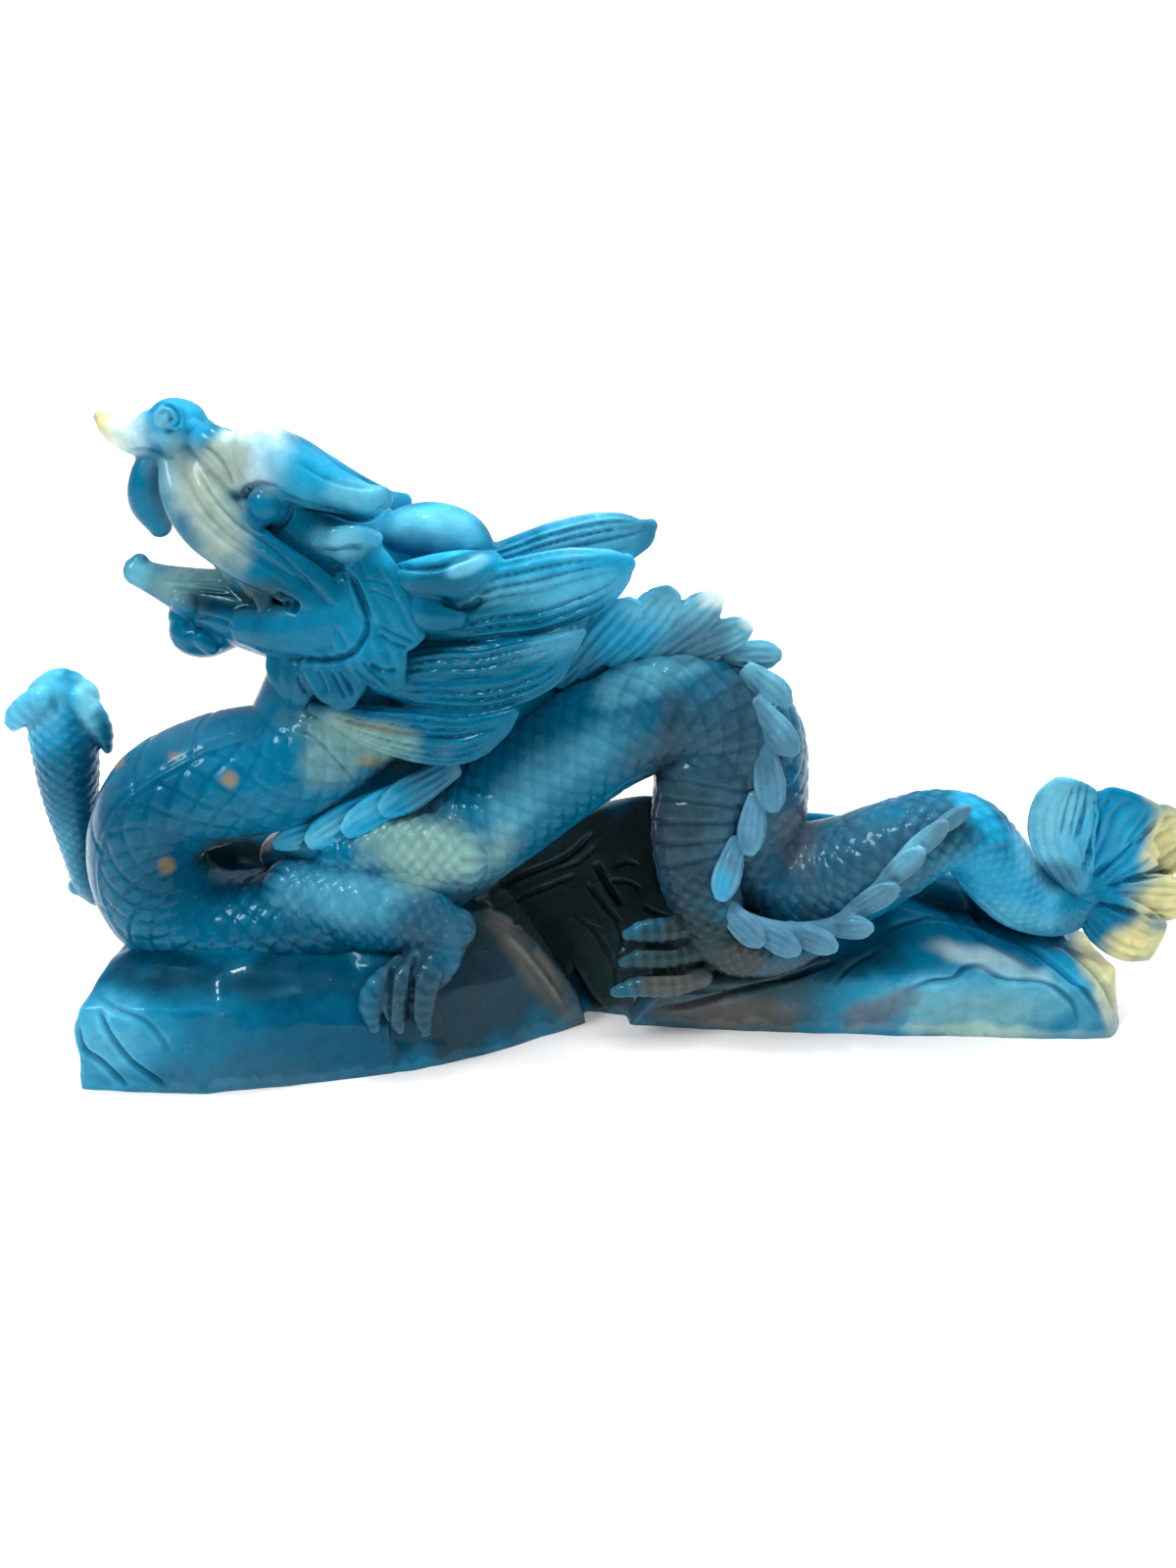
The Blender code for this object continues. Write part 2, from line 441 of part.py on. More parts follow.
def main():
    """Builds the statue's one solid, standing on z = 0 with its box centred on the origin."""
    for old in list(bpy.data.objects):
        bpy.data.objects.remove(old)
    parts = bpy.data.collections.new("dragon_statue")
    cutters = bpy.data.collections.new("cutters")
    for collection in (parts, cutters):
        bpy.context.scene.collection.children.link(collection)

    draft = bpy.data.objects.new("draft", build_forms())
    parts.objects.link(draft)
    run_together = draft.modifiers.new("run_together", "REMESH")
    run_together.mode = "VOXEL"
    run_together.voxel_size = CARVING_GRAIN
    soften = draft.modifiers.new("soften", "SMOOTH")
    soften.factor = SOFTENING
    soften.iterations = SOFTENING_ROUNDS
    facet = draft.modifiers.new("facet", "DECIMATE")
    facet.use_collapse_triangulate = True
    facet.ratio = 1.0
    bpy.context.view_layer.update()
    full = len(draft.evaluated_get(bpy.context.evaluated_depsgraph_get()).data.loop_triangles)
    facet.ratio = FACE_COUNT / full
    flat_foot = draft.modifiers.new("flat_foot", "BOOLEAN")
    flat_foot.operation = "DIFFERENCE"
    flat_foot.object = floor_cutter(cutters)

    bpy.context.view_layer.update()
    mesh = bpy.data.meshes.new_from_object(draft.evaluated_get(bpy.context.evaluated_depsgraph_get()))
    co = np.array([v.co for v in mesh.vertices])
    middle = (co.min(axis=0) + co.max(axis=0)) / 2
    for v in mesh.vertices:
        v.co.x -= middle[0]
        v.co.y -= middle[1]
    mesh.materials.clear()
    mesh.materials.append(stone_material())
    mesh.shade_smooth()
    mesh.set_sharp_from_angle(angle=SHARP_EDGE)
    bpy.data.objects.remove(draft)
    statue = bpy.data.objects.new("dragon_statue", mesh)
    parts.objects.link(statue)


main()
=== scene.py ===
"""Looks of a dragon statue carved from one block of polished blue stone.

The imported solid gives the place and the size. The statue is carved again here in finer grain: the same
forms with their scales, hair grooves, pleats and toe ribs, and a stone finish with its pale, tan, dark and
rusty zones.
"""

import logging
import math
from dataclasses import dataclass, field
from enum import Enum

import bmesh
import bpy
import numpy as np
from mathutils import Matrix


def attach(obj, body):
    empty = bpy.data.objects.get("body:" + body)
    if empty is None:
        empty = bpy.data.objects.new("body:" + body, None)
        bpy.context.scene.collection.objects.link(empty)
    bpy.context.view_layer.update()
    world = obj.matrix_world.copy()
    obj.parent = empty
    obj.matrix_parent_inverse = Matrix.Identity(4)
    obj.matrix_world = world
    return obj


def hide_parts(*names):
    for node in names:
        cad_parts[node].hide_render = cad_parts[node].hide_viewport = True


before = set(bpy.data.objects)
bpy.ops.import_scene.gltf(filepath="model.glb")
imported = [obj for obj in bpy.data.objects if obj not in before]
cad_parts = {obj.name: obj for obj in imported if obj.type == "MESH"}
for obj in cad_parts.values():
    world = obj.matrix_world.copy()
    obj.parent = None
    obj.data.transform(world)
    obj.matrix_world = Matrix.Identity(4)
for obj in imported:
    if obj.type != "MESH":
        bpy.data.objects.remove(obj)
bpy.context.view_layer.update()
LOG = logging.getLogger("dragon_statue")

# A step is a millimetre of the statue at its real length
STATUE_LENGTH = 0.2225
STEP = STATUE_LENGTH / 222.5
BLOCK_MIDDLE = (2.68 * STEP, -6.77 * STEP)  # the statue's middle planes, from the middle of its box
ROCK_SINK = 4.0 * STEP  # rock and feet are carved this far below the floor, then cut flat
HEAD_LEAN = 0.25        # fall of the head's far side, as a share of its distance from the middle

# The front view: where the eye stands and how it sees
CAMERA_TILT = math.radians(23.3)
CAMERA_FILM = 36  # width of the camera's film in millimetres
VIEW_SIZE = (1200, 1600)
FOCAL_PIXELS = 1500.0
EYE_BACK = 250 * STEP
EYE_UP = 153 * STEP
CAMERA_PLACE = (-BLOCK_MIDDLE[0], -EYE_BACK - BLOCK_MIDDLE[1], EYE_UP)

# The tables are drawn on the front view, a picture of 1200 x 1600 pixels that shows the statue from a little
# above. A row of a form is a place on its middle line and its half sizes there: (column, row, depth, half
# height, half depth), all in pixels but the depth behind the statue's middle plane, which is in steps. The
# body's rows also say where the crest lies round it, in degrees from its inner side towards the viewer.
BODY = [
    (425, 655, 0, 56, 56, 60), (368, 722, -2, 62, 64, 58), (300, 775, -5, 63, 68, 45),
    (228, 793, -8, 66, 70, 25), (170, 820, -9, 62, 70, 15), (150, 868, -9, 57, 68, 15),
    (168, 915, -9, 58, 66, 15), (218, 940, -9, 52, 62, 15), (290, 936, -9, 52, 60, 15),
    (370, 915, -8, 54, 60, 15), (445, 872, -6, 58, 60, 15), (525, 812, -3, 60, 62, 15),
    (622, 742, 0, 62, 64, 5), (695, 722, 2, 63, 66, 18), (752, 752, 3, 66, 68, 55),
    (765, 810, 3, 60, 64, 84), (765, 860, 2, 52, 58, 112), (795, 895, 0, 56, 55, 148),
    (850, 893, -3, 58, 55, 150), (905, 870, -6, 52, 50, 127), (950, 850, -7, 44, 46, 85),
    (988, 852, -7, 40, 42, 45), (1015, 882, -6, 40, 40, 15), (1045, 912, -5, 37, 37, 5),
    (1080, 922, -4, 31, 33, 0), (1110, 908, -3, 22, 24, 0),
]

# Forms of the head that lie on its middle plane
HEAD_MIDDLE = {
    "snout": [(186, 455, 0, 26, 30), (205, 482, 0, 36, 42), (240, 525, 0, 48, 54), (285, 570, 0, 56, 62),
              (330, 620, 0, 52, 62), (360, 650, 0, 40, 50)],
    "nose": [(158, 440, 0, 22, 24), (174, 438, 0, 31, 36), (192, 441, 0, 30, 34), (204, 446, 0, 20, 24)],
    "lip_tip": [(178, 456, 0, 18, 26), (150, 450, 0, 18, 24), (126, 442, 0, 17, 19), (110, 433, 0, 13, 13),
                (102, 426, 0, 7, 7)],
    "front_fang": [(160, 462, -1, 14, 14), (150, 485, -1, 16, 22), (152, 512, -1, 20, 20),
                   (164, 538, -1, 12, 10)],
    "skull": [(240, 475, 0, 26, 40), (275, 490, 0, 48, 56), (325, 540, 0, 62, 66), (380, 590, 0, 66, 68),
              (430, 620, 0, 55, 60)],
    "forehead": [(238, 458, 0, 14, 18), (262, 455, 0, 22, 26), (300, 468, 0, 22, 22), (345, 495, 0, 14, 14),
                 (380, 510, 0, 10, 10)],
    "jaw": [(330, 640, 0, 44, 58), (285, 628, 0, 44, 54), (240, 618, 0, 38, 44), (200, 606, 0, 27, 32),
            (165, 594, 0, 18, 22), (140, 584, 0, 14, 14)],
    "jaw_tip": [(152, 588, 0, 15, 14), (140, 582, 0, 14, 14), (143, 574, 0, 9, 9)],
    "chin": [(188, 628, 0, 16, 22), (196, 642, 0, 24, 30), (212, 646, 0, 24, 30), (236, 640, 0, 20, 32)],
    "throat": [(330, 660, 0, 40, 52), (316, 695, -1, 42, 54), (300, 735, -2, 44, 56)],
    "mane_core": [(380, 600, 0, 50, 60), (430, 610, 0, 62, 66), (500, 610, 0, 52, 60),
                  (560, 605, 0, 40, 46), (610, 590, 0, 20, 26)],
    "curl_top": [(395, 562, -2, 14, 22), (404, 545, -3, 22, 32), (438, 540, -3, 27, 38),
                 (472, 550, -3, 26, 36), (494, 570, -3, 17, 26)],
    "lock_crown": [(470, 585, -3, 20, 20), (520, 576, -4, 26, 20), (570, 563, -4, 31, 17),
                   (620, 552, -5, 30, 13), (652, 544, -5, 19, 8), (666, 535, -5, 7, 5)],
    "loop_web": [(284, 866, -2, 16, 24), (316, 856, -6, 24, 32), (355, 840, -7, 32, 36),
                 (412, 812, -4, 38, 38)],
    "loop_back": [(212, 868, 8, 18, 14), (250, 870, 8, 24, 18), (290, 874, 5, 34, 30), (330, 880, 1, 30, 30)],
    "nape": [(395, 790, 3, 30, 34), (440, 745, 3, 52, 40), (500, 700, 3, 56, 40), (560, 650, 3, 40, 34),
             (600, 615, 2, 20, 22)],
}

# Forms of the head that are carved on both sides; only the near one is listed
HEAD_PAIRED = {
    "nostril": [(166, 428, -6.5, 9, 9), (172, 418, -7, 8, 8), (182, 420, -7, 7, 7), (184, 430, -7, 6, 6),
                (176, 434, -7, 5, 5)],
    "lip_strand": [(172, 470, -4, 12, 10), (182, 505, -7, 19, 14), (208, 542, -9.5, 22, 14),
                   (246, 572, -12, 20, 13), (288, 596, -13.5, 17, 12), (326, 622, -14, 16, 12),
                   (350, 650, -14, 14, 11)],
    "whisker_strand": [(196, 462, -4, 10, 9), (212, 498, -8, 15, 12), (244, 536, -11, 15, 12),
                       (286, 566, -13, 13, 11), (326, 592, -14, 12, 10), (356, 626, -14.5, 11, 10),
                       (362, 652, -14, 8, 8)],
    "snout_bridge": [(200, 442, -4, 14, 14), (214, 452, -6, 20, 18), (232, 468, -7, 22, 20),
                     (244, 490, -8, 16, 16)],
    "brow": [(246, 466, -6, 26, 20), (268, 468, -7.5, 35, 26), (302, 484, -9.5, 31, 24),
             (340, 500, -12, 23, 18), (370, 510, -13, 18, 14), (392, 508, -13.5, 11, 8)],
    "eye": [(258, 515, -8.5, 14, 14), (272, 516, -9.3, 22, 20), (288, 518, -8.8, 13, 13)],
    "ear_top": [(322, 554, -15, 5, 6), (342, 548, -16, 11, 8), (366, 546, -16, 10, 8),
                (384, 550, -15, 8, 7)],
    "ear_bottom": [(334, 562, -15, 6, 6), (352, 564, -15.5, 13, 8), (370, 560, -15, 9, 7)],
    "cheek": [(252, 640, -9, 20, 18), (290, 644, -12, 30, 22), (328, 640, -13, 36, 22),
              (354, 622, -13, 28, 20), (356, 596, -13, 16, 14)],
    "chin_curl": [(206, 652, -5, 10, 9), (216, 660, -5, 9, 9)],
    "jaw_ball": [(184, 616, -6, 11, 10), (192, 617, -6, 11, 10)],
    "tooth": [(262, 592, -11.5, 14, 8), (268, 606, -12, 12, 8), (270, 620, -12, 8, 7),
              (269, 632, -12, 4, 4)],
    "frill_upper": [(366, 560, -14, 16, 10), (384, 596, -15.5, 22, 10), (402, 630, -16.5, 22, 9),
                    (422, 655, -17, 12, 6)],
    "frill_mid": [(350, 610, -14, 20, 10), (372, 645, -16, 26, 10), (390, 678, -17, 22, 9),
                  (403, 699, -17, 10, 6)],
    "frill_low": [(334, 640, -13, 22, 12), (342, 676, -15.5, 26, 11), (348, 704, -16.5, 20, 9),
                  (352, 718, -16.5, 9, 6)],
    "frill_front": [(308, 650, -11, 22, 12), (304, 684, -13.5, 24, 11), (304, 704, -14, 16, 9),
                    (306, 714, -14, 8, 6)],
    "curl_mid": [(398, 592, -13, 14, 14), (430, 590, -15, 22, 20), (470, 586, -16, 25, 20),
                 (500, 578, -14, 17, 16)],
    "curl_low": [(412, 612, -14, 16, 14), (438, 624, -16, 22, 16), (466, 628, -16, 15, 12)],
    "lock_upper": [(440, 634, -11, 22, 14), (490, 618, -14, 38, 15), (545, 608, -15, 43, 14),
                   (595, 594, -16, 38, 12), (628, 580, -17, 22, 9), (642, 573, -17, 9, 6)],
    "lock_middle": [(385, 690, -12, 18, 12), (440, 692, -14, 32, 14), (500, 690, -16, 35, 13),
                    (548, 676, -17, 30, 11), (580, 656, -18, 14, 8), (595, 645, -18, 5, 5)],
    "lock_lower": [(322, 722, -11, 9, 9), (370, 738, -14, 20, 11), (420, 749, -15, 28, 12),
                   (468, 752, -16, 28, 12), (505, 740, -17, 17, 9), (525, 727, -18, 6, 5)],
}

# Legs: the near foreleg and hind leg stand on the rock, the far foreleg is raised before the chest
LEGS = {
    "arm_upper": [(350, 870, -10, 30, 30), (400, 866, -11.5, 36, 30), (445, 869, -12.5, 42, 30),
                  (476, 872, -13, 35, 26)],
    "arm_fore": [(300, 912, -12, 40, 34), (350, 924, -14.5, 43, 34), (405, 934, -16.5, 41, 34),
                 (445, 944, -18, 34, 28), (466, 948, -18.5, 22, 20)],
    "arm_shin": [(455, 948, -19, 26, 22), (445, 980, -21, 24, 20), (425, 1000, -23, 24, 16)],
    "front_toe_a": [(448, 975, -22, 12, 12), (436, 1000, -25, 14, 12), (430, 1025, -26, 14, 11),
                    (434, 1052, -26, 7, 7)],
    "front_toe_b": [(426, 978, -23, 11, 11), (408, 1003, -26, 12, 11), (402, 1025, -27, 12, 10),
                    (408, 1050, -27, 6, 6)],
    "front_toe_c": [(408, 985, -23, 11, 11), (388, 1005, -26, 13, 11), (378, 1025, -27, 12, 10),
                    (382, 1048, -27, 6, 6)],
    "thigh": [(738, 745, -1, 42, 40), (724, 788, -3, 54, 46), (712, 835, -6, 48, 42),
              (710, 880, -8.5, 43, 36), (722, 925, -11, 37, 32), (732, 958, -12, 30, 26)],
    "heel": [(722, 950, -12, 28, 24), (752, 967, -13, 31, 24), (795, 972, -13, 25, 20),
             (832, 966, -13, 12, 10)],
    "hind_toe_a": [(712, 944, -12, 12, 12), (680, 949, -14, 13, 12), (655, 951, -15, 12, 10),
                   (640, 954, -15, 6, 6)],
    "hind_toe_b": [(712, 970, -13, 12, 12), (680, 976, -15, 13, 12), (655, 978, -16, 12, 10),
                   (636, 982, -16, 6, 6)],
    "hind_toe_c": [(716, 996, -14, 12, 12), (686, 1004, -16, 14, 12), (655, 1006, -17, 12, 10),
                   (628, 1012, -17, 6, 6)],
    "far_thigh": [(740, 729, 6.5, 34, 33), (721, 757, 10, 44, 38), (705, 796, 12, 39, 33),
                  (701, 835, 13, 32, 29), (708, 872, 13.5, 30, 28), (720, 900, 13.5, 25, 24)],
    "far_heel": [(666, 914, 13.5, 9, 11), (698, 909, 14, 17, 16), (735, 911, 14, 22, 20),
                 (779, 911, 14, 13, 13)],
    "far_arm": [(150, 880, 4, 24, 24), (112, 900, 8, 23, 24), (95, 892, 9, 22, 24), (84, 862, 9, 23, 24),
                (74, 822, 9, 27, 26), (68, 780, 8, 33, 28), (64, 745, 8, 35, 28), (62, 718, 8, 30, 26)],
    "far_elbow": [(118, 905, 9, 16, 18), (98, 903, 9, 21, 22), (80, 903, 9, 10, 12)],
    "far_palm": [(40, 722, 8, 20, 20), (58, 708, 8, 24, 24), (82, 712, 8, 20, 20)],
    "far_toe_a": [(46, 712, 5, 14, 14), (28, 722, 5, 14, 13), (16, 734, 6, 12, 11), (14, 742, 7, 6, 6)],
    "far_toe_b": [(40, 704, 8, 10, 12), (58, 694, 8, 12, 14), (76, 696, 8, 10, 12), (88, 702, 8, 6, 8)],
    "far_toe_c": [(80, 712, 6, 12, 12), (94, 728, 6, 14, 12), (104, 746, 7, 12, 10), (110, 764, 8, 5, 6)],
}

# The tail's tuft is a fan of five leaves
TUFT = {
    "tuft_core": [(1080, 915, -4, 20, 24), (1104, 906, -3, 27, 26), (1122, 902, -3, 16, 18)],
    "tuft_a": [(1100, 902, -6, 14, 12), (1090, 876, -9, 26, 12), (1084, 846, -10, 35, 10),
               (1088, 822, -10, 35, 8), (1098, 802, -10, 24, 6)],
    "tuft_b": [(1102, 904, -2, 16, 12), (1122, 872, -3, 30, 11), (1138, 842, -4, 42, 9),
               (1152, 824, -4, 40, 7), (1158, 814, -4, 30, 5)],
    "tuft_c": [(1106, 906, 0, 14, 10), (1138, 884, 0, 34, 10), (1170, 864, 0, 44, 8),
               (1194, 852, 0, 40, 6), (1208, 846, 0, 28, 4)],
    "tuft_web": [(1104, 902, -3, 18, 10), (1126, 872, -4, 44, 8), (1146, 850, -4, 54, 6),
                 (1158, 838, -3, 50, 4)],
    "tuft_d": [(1108, 908, -3, 12, 10), (1145, 912, -4, 21, 10), (1180, 916, -5, 27, 8),
               (1208, 917, -5, 23, 5)],
    "tuft_e": [(1106, 915, -5, 16, 12), (1132, 938, -7, 29, 11), (1158, 953, -8, 31, 8),
               (1180, 960, -8, 24, 5)],
}

# Rock masses: pixels of each one's corners on the floor, then those of its other corners with their depth
ROCKS = {
    "left_block": ([(79, 1112), (202, 1117), (402, 1097), (394, 971), (163, 976)],
                   [(77, 1050, -31.5), (150, 1056, -33), (225, 1058, -33), (398, 1050, -26),
                    (82, 1028, -29.5), (150, 1030, -31.5), (222, 1034, -32), (396, 1030, -24.5),
                    (106, 990, -22.5), (160, 985, -24), (225, 990, -25), (390, 996, -20.5),
                    (152, 958, -16.5), (234, 955, -17), (378, 962, -14.5), (169, 906, 11), (380, 893, 13)]),
    "front_mound": ([(338, 1104), (430, 1094), (520, 1068), (562, 1047), (603, 1042), (589, 971), (356, 971)],
                    [(500, 927, -13), (525, 940, -13.5), (550, 963, -14), (591, 1018, -11.5),
                     (416, 1041, -24), (465, 970, -17.5), (373, 988, -20.5), (321, 960, -15),
                     (497, 875, 13), (371, 893, 13)]),
    "rock_wall": ([(466, 1015), (643, 1041), (894, 1043), (892, 964), (464, 964)],
                  [(616, 824, 9), (664, 811, 10), (847, 831, 10), (881, 837, 12), (600, 820, 17),
                   (854, 835, 18), (520, 870, 6.5), (464, 880, 7.5), (480, 866, 17.5)]),
    "tail_rest": ([(877, 1009), (1114, 1015), (1099, 981), (865, 971)],
                  [(900, 890, 3), (946, 890, 1.5), (1003, 902, 1), (1081, 932, 0), (1076, 913, 11),
                   (889, 862, 15)]),
    "right_block": ([(627, 1044), (869, 1054), (1000, 1058), (1140, 1060), (1146, 1040), (1110, 979),
                     (892, 964), (624, 964)],
                    [(682, 1005, -13.5), (874, 1000, -13.5), (1002, 997, -14), (1120, 1008, -14),
                     (1137, 988, -8.5), (1106, 950, 8), (935, 931, -5), (867, 905, 0), (1002, 938, 0),
                     (907, 894, 12), (703, 899, 10)]),
}

# Leaves of the crest: pixels of root and tip, half the width in pixels and the depths of root and tip
CREST_LEAVES = [
    ((566, 694), (606, 646), 20, -1, -1), ((586, 684), (650, 613), 21, -1, -1.5),
    ((622, 676), (689, 601), 22, -0.5, -1), ((658, 670), (735, 607), 20, 0, -0.5),
    ((696, 668), (767, 637), 17, 0.5, -1), ((604, 690), (640, 640), 21, 1, 1),
    ((646, 680), (682, 630), 19, 1, 1), ((740, 668), (797, 668), 15, 1, 0),
    ((762, 684), (805, 720), 16, -2, -5), ((770, 718), (812, 770), 15, -5, -9.5),
    ((780, 762), (790, 828), 15, -7.5, -11.5), ((772, 812), (764, 872), 14, -9, -13.5),
    ((752, 858), (735, 918), 14, -11.5, -17),
    ((738, 924), (778, 964), 14, -14, -18.5), ((768, 944), (816, 972), 14, -15, -19),
    ((804, 948), (854, 968), 14, -15, -18.5), ((842, 946), (890, 946), 13, -13.5, -17.5),
    ((866, 932), (916, 904), 13, -13, -17.5), ((896, 906), (942, 866), 12, -13.5, -18),
    ((924, 876), (966, 838), 11, -14.5, -17.5), ((948, 850), (990, 824), 9, -15, -14.5),
    ((352, 842), (279, 862), 13, -9, -12), ((400, 812), (313, 861), 18, -9, -14),
    ((428, 800), (350, 850), 17, -10, -14.5), ((464, 782), (388, 829), 17, -9, -14.5),
]
# Sections of a leaf: share of its length, of its half width and of its thickness
LEAF_OUTLINE = [(0.0, 0.70, 0.8), (0.3, 0.95, 1.0), (0.6, 1.10, 0.9), (0.84, 0.92, 0.7), (0.97, 0.50, 0.5)]
LEAF_THICKNESS = 1.2 * STEP   # half the thickness of a leaf
FRILL_SPREAD = 1.35           # widening of the frill's pleats, so that they run together

# The band that runs along the tail under its leaves, as rows of a form
TAIL_RIBBON = [(738, 910, -12, 8, 10), (752, 934, -14.5, 10, 10), (785, 948, -15.5, 11, 10),
               (822, 951, -15.5, 11, 10), (856, 942, -14, 10, 9), (888, 916, -14, 10, 9),
               (912, 890, -15, 9, 8), (936, 862, -15.5, 9, 8), (960, 842, -15, 7, 7), (984, 829, -13, 5, 5)]

# Cuts laid out on the front view: pixels, half width in pixels and depth in metres (raised if negative)
BODY_STROKES = [
    ([(568, 704), (600, 690), (630, 674), (665, 664), (705, 664), (740, 672)], 4, 0.0007),
    ([(300, 744), (320, 752), (345, 778), (366, 802)], 3, 0.0004),
]
HEAD_STROKES = [
    ([(196, 470), (214, 504), (240, 533), (274, 557), (306, 588), (326, 612)], 5, 0.0006),
    ([(186, 500), (206, 531), (232, 554), (262, 573), (292, 592), (314, 610)], 5, 0.0003),
    ([(280, 607), (294, 615), (305, 623)], 7, 0.0024), ([(290, 612), (304, 621)], 9, 0.0012),
    ([(249, 514), (250, 502), (260, 495), (276, 496), (290, 505)], 5, 0.0009),
    ([(252, 531), (264, 540), (282, 539), (295, 527), (298, 512)], 5, 0.0007),
    ([(266, 494), (290, 507), (315, 516), (339, 522), (362, 529), (382, 526), (400, 508)], 5, 0.0011),
    ([(300, 470), (330, 488), (360, 497), (388, 499)], 4, 0.0003),
    ([(324, 560), (340, 561), (358, 558), (372, 559)], 3.5, 0.0006),
    ([(339, 578), (359, 593), (371, 619), (374, 643), (362, 664), (342, 673), (309, 673),
      (283, 669)], 6, 0.0013),
    ([(372, 592), (386, 594), (400, 600)], 3, 0.0004), ([(372, 602), (388, 606), (404, 614)], 3, 0.0004),
    ([(384, 636), (404, 648), (424, 656)], 3, 0.0006), ([(384, 646), (402, 657), (418, 662)], 3, 0.0006),
    ([(366, 672), (382, 688), (398, 700)], 3, 0.0006), ([(360, 680), (374, 694), (388, 704)], 3, 0.0006),
    ([(336, 684), (346, 702), (354, 716)], 3, 0.0007), ([(344, 682), (355, 698), (362, 712)], 3, 0.0006),
    ([(302, 686), (308, 700), (316, 712)], 3, 0.0005), ([(322, 682), (330, 698), (335, 710)], 4, 0.0008),
    ([(376, 676), (388, 684), (406, 684)], 4, 0.0008),
    ([(186, 640), (196, 632), (212, 630), (228, 634), (240, 640)], 3, 0.0006),
    ([(160, 591), (200, 593), (240, 593)], 3, 0.0003), ([(170, 600), (205, 603), (236, 606)], 3, 0.0003),
    ([(150, 430), (154, 419), (164, 413), (175, 415), (182, 424), (180, 435), (171, 440),
      (162, 437)], 3.5, 0.0009),
    ([(162, 424), (168, 420), (174, 424), (172, 431)], 3, 0.0006),
    ([(128, 460), (150, 459), (166, 464), (182, 468)], 4, 0.0006),
    ([(204, 452), (222, 466), (232, 482), (238, 500)], 5, 0.0007),
]
MANE_STROKES = [
    ([(392, 574), (420, 578), (446, 578), (470, 570), (496, 560)], 6, 0.0012),
    ([(448, 611), (464, 618), (480, 620), (494, 610)], 6, 0.0012),
    ([(400, 600), (404, 620), (416, 640), (440, 650)], 4, 0.0006),
]
LEG_STROKES = [
    ([(636, 963), (664, 966), (696, 966)], 4, 0.0014), ([(632, 990), (668, 992), (707, 991)], 4, 0.0014),
    ([(400, 984), (398, 1010), (396, 1046)], 4, 0.0012), ([(424, 974), (420, 1005), (418, 1050)], 4, 0.0012),
    ([(665, 800), (655, 830), (653, 860), (657, 885), (668, 905)], 3, 0.0006),
    ([(676, 800), (667, 830), (665, 860), (669, 885), (680, 905)], 3, 0.0005),
]
TUFT_STROKES = [
    ([(1090, 858), (1098, 826), (1104, 796)], 3, 0.0009),
    ([(1096, 862), (1106, 828), (1112, 796)], 3, 0.0009),
    ([(1082, 856), (1088, 828), (1096, 800)], 3, 0.0009),
    ([(1104, 892), (1116, 856), (1120, 812)], 5, 0.0014),
    ([(1112, 897), (1150, 868), (1182, 836)], 5, 0.0010),
    ([(1114, 910), (1160, 896), (1204, 888)], 5, 0.0012),
    ([(1112, 920), (1150, 930), (1190, 938)], 5, 0.0012),
]
ROCK_STROKES = [
    ([(79, 1039), (85, 1070), (104, 1085), (131, 1112)], 5, 0.0012),
    ([(100, 1028), (112, 1055), (135, 1085), (173, 1112)], 5, 0.0012),
    ([(92, 1010), (118, 1030), (150, 1044), (178, 1080)], 6, 0.0006),
    ([(521, 938), (550, 956), (579, 985), (600, 1018), (618, 1034)], 6, 0.0022),
    ([(512, 950), (534, 972), (556, 1000), (576, 1030)], 7, -0.0008),
    ([(489, 916), (536, 893), (579, 874), (610, 846)], 5, 0.0010),
    ([(500, 930), (550, 909), (590, 892)], 4, 0.0008),
    ([(607, 880), (621, 906), (636, 926)], 5, 0.0014), ([(598, 900), (618, 926), (636, 945)], 4, 0.0010),
    ([(629, 938), (634, 955), (636, 972)], 3, 0.0008), ([(654, 924), (672, 934), (690, 938)], 4, 0.0012),
    ([(626, 886), (640, 880), (652, 884)], 3, 0.0008), ([(620, 900), (640, 900), (655, 908)], 3, 0.0008),
    ([(596, 940), (612, 958), (626, 985)], 3, 0.0008), ([(640, 950), (628, 985), (630, 1020)], 3, 0.0008),
    ([(580, 930), (600, 944), (616, 950)], 3, 0.0006), ([(560, 890), (590, 880), (612, 860)], 3, 0.0006),
    ([(664, 1031), (700, 1026), (743, 1015), (814, 995), (860, 977)], 5, 0.0014),
    ([(640, 1018), (700, 1012), (760, 1012)], 3, 0.0006), ([(850, 1006), (870, 985), (900, 968)], 4, 0.0006),
    ([(916, 1014), (950, 1002), (972, 999), (984, 988), (1002, 986), (1025, 999), (1063, 1002), (1084, 1014),
      (1097, 1029), (1099, 1052)], 5, 0.0009),
    ([(978, 899), (1002, 941), (1043, 961), (1084, 991), (1114, 1020), (1128, 1052)], 5, 0.0010),
    ([(1060, 950), (1099, 976), (1128, 1005), (1140, 1038)], 5, 0.0009),
    ([(960, 920), (990, 950), (1030, 972), (1070, 998)], 6, 0.0006),
    ([(900, 950), (930, 940), (960, 936), (1000, 944)], 5, 0.0006),
]
SOFT_STROKE = 4.5  # strokes at least this many pixels to a side have round edges

# How the forms are sampled and how fine each kind is, in metres between vertices
CURVE_SAMPLES = 24
CORE_GRAIN, PLAIN_GRAIN, FINE_GRAIN = 0.0008, 0.0005, 0.00034
# Slabs more than rods: the power that squares their oval section
LOCK_SLAB, LEAF_SLAB = 0.7, 0.8
# Widths and depths of the graver's cuts, in metres
SCALE_CUT, SCALE_SLOPE, SCALE_DEEP, SMALL_SCALE_DEEP = 0.00044, 0.00022, 0.00055, 0.00058
BORDER_GAP, PLATE_PITCH, RIB_PITCH, TOE_PITCH = 0.0016, 0.0088, 0.0034, 0.0021
HOLLOW_DEPTH = 0.00024  # a hollow this deep gets its painted shade at full strength, a ridge this high its painted highlight
SOFTENING = 0.35        # how far each smoothing round evens out the merged forms


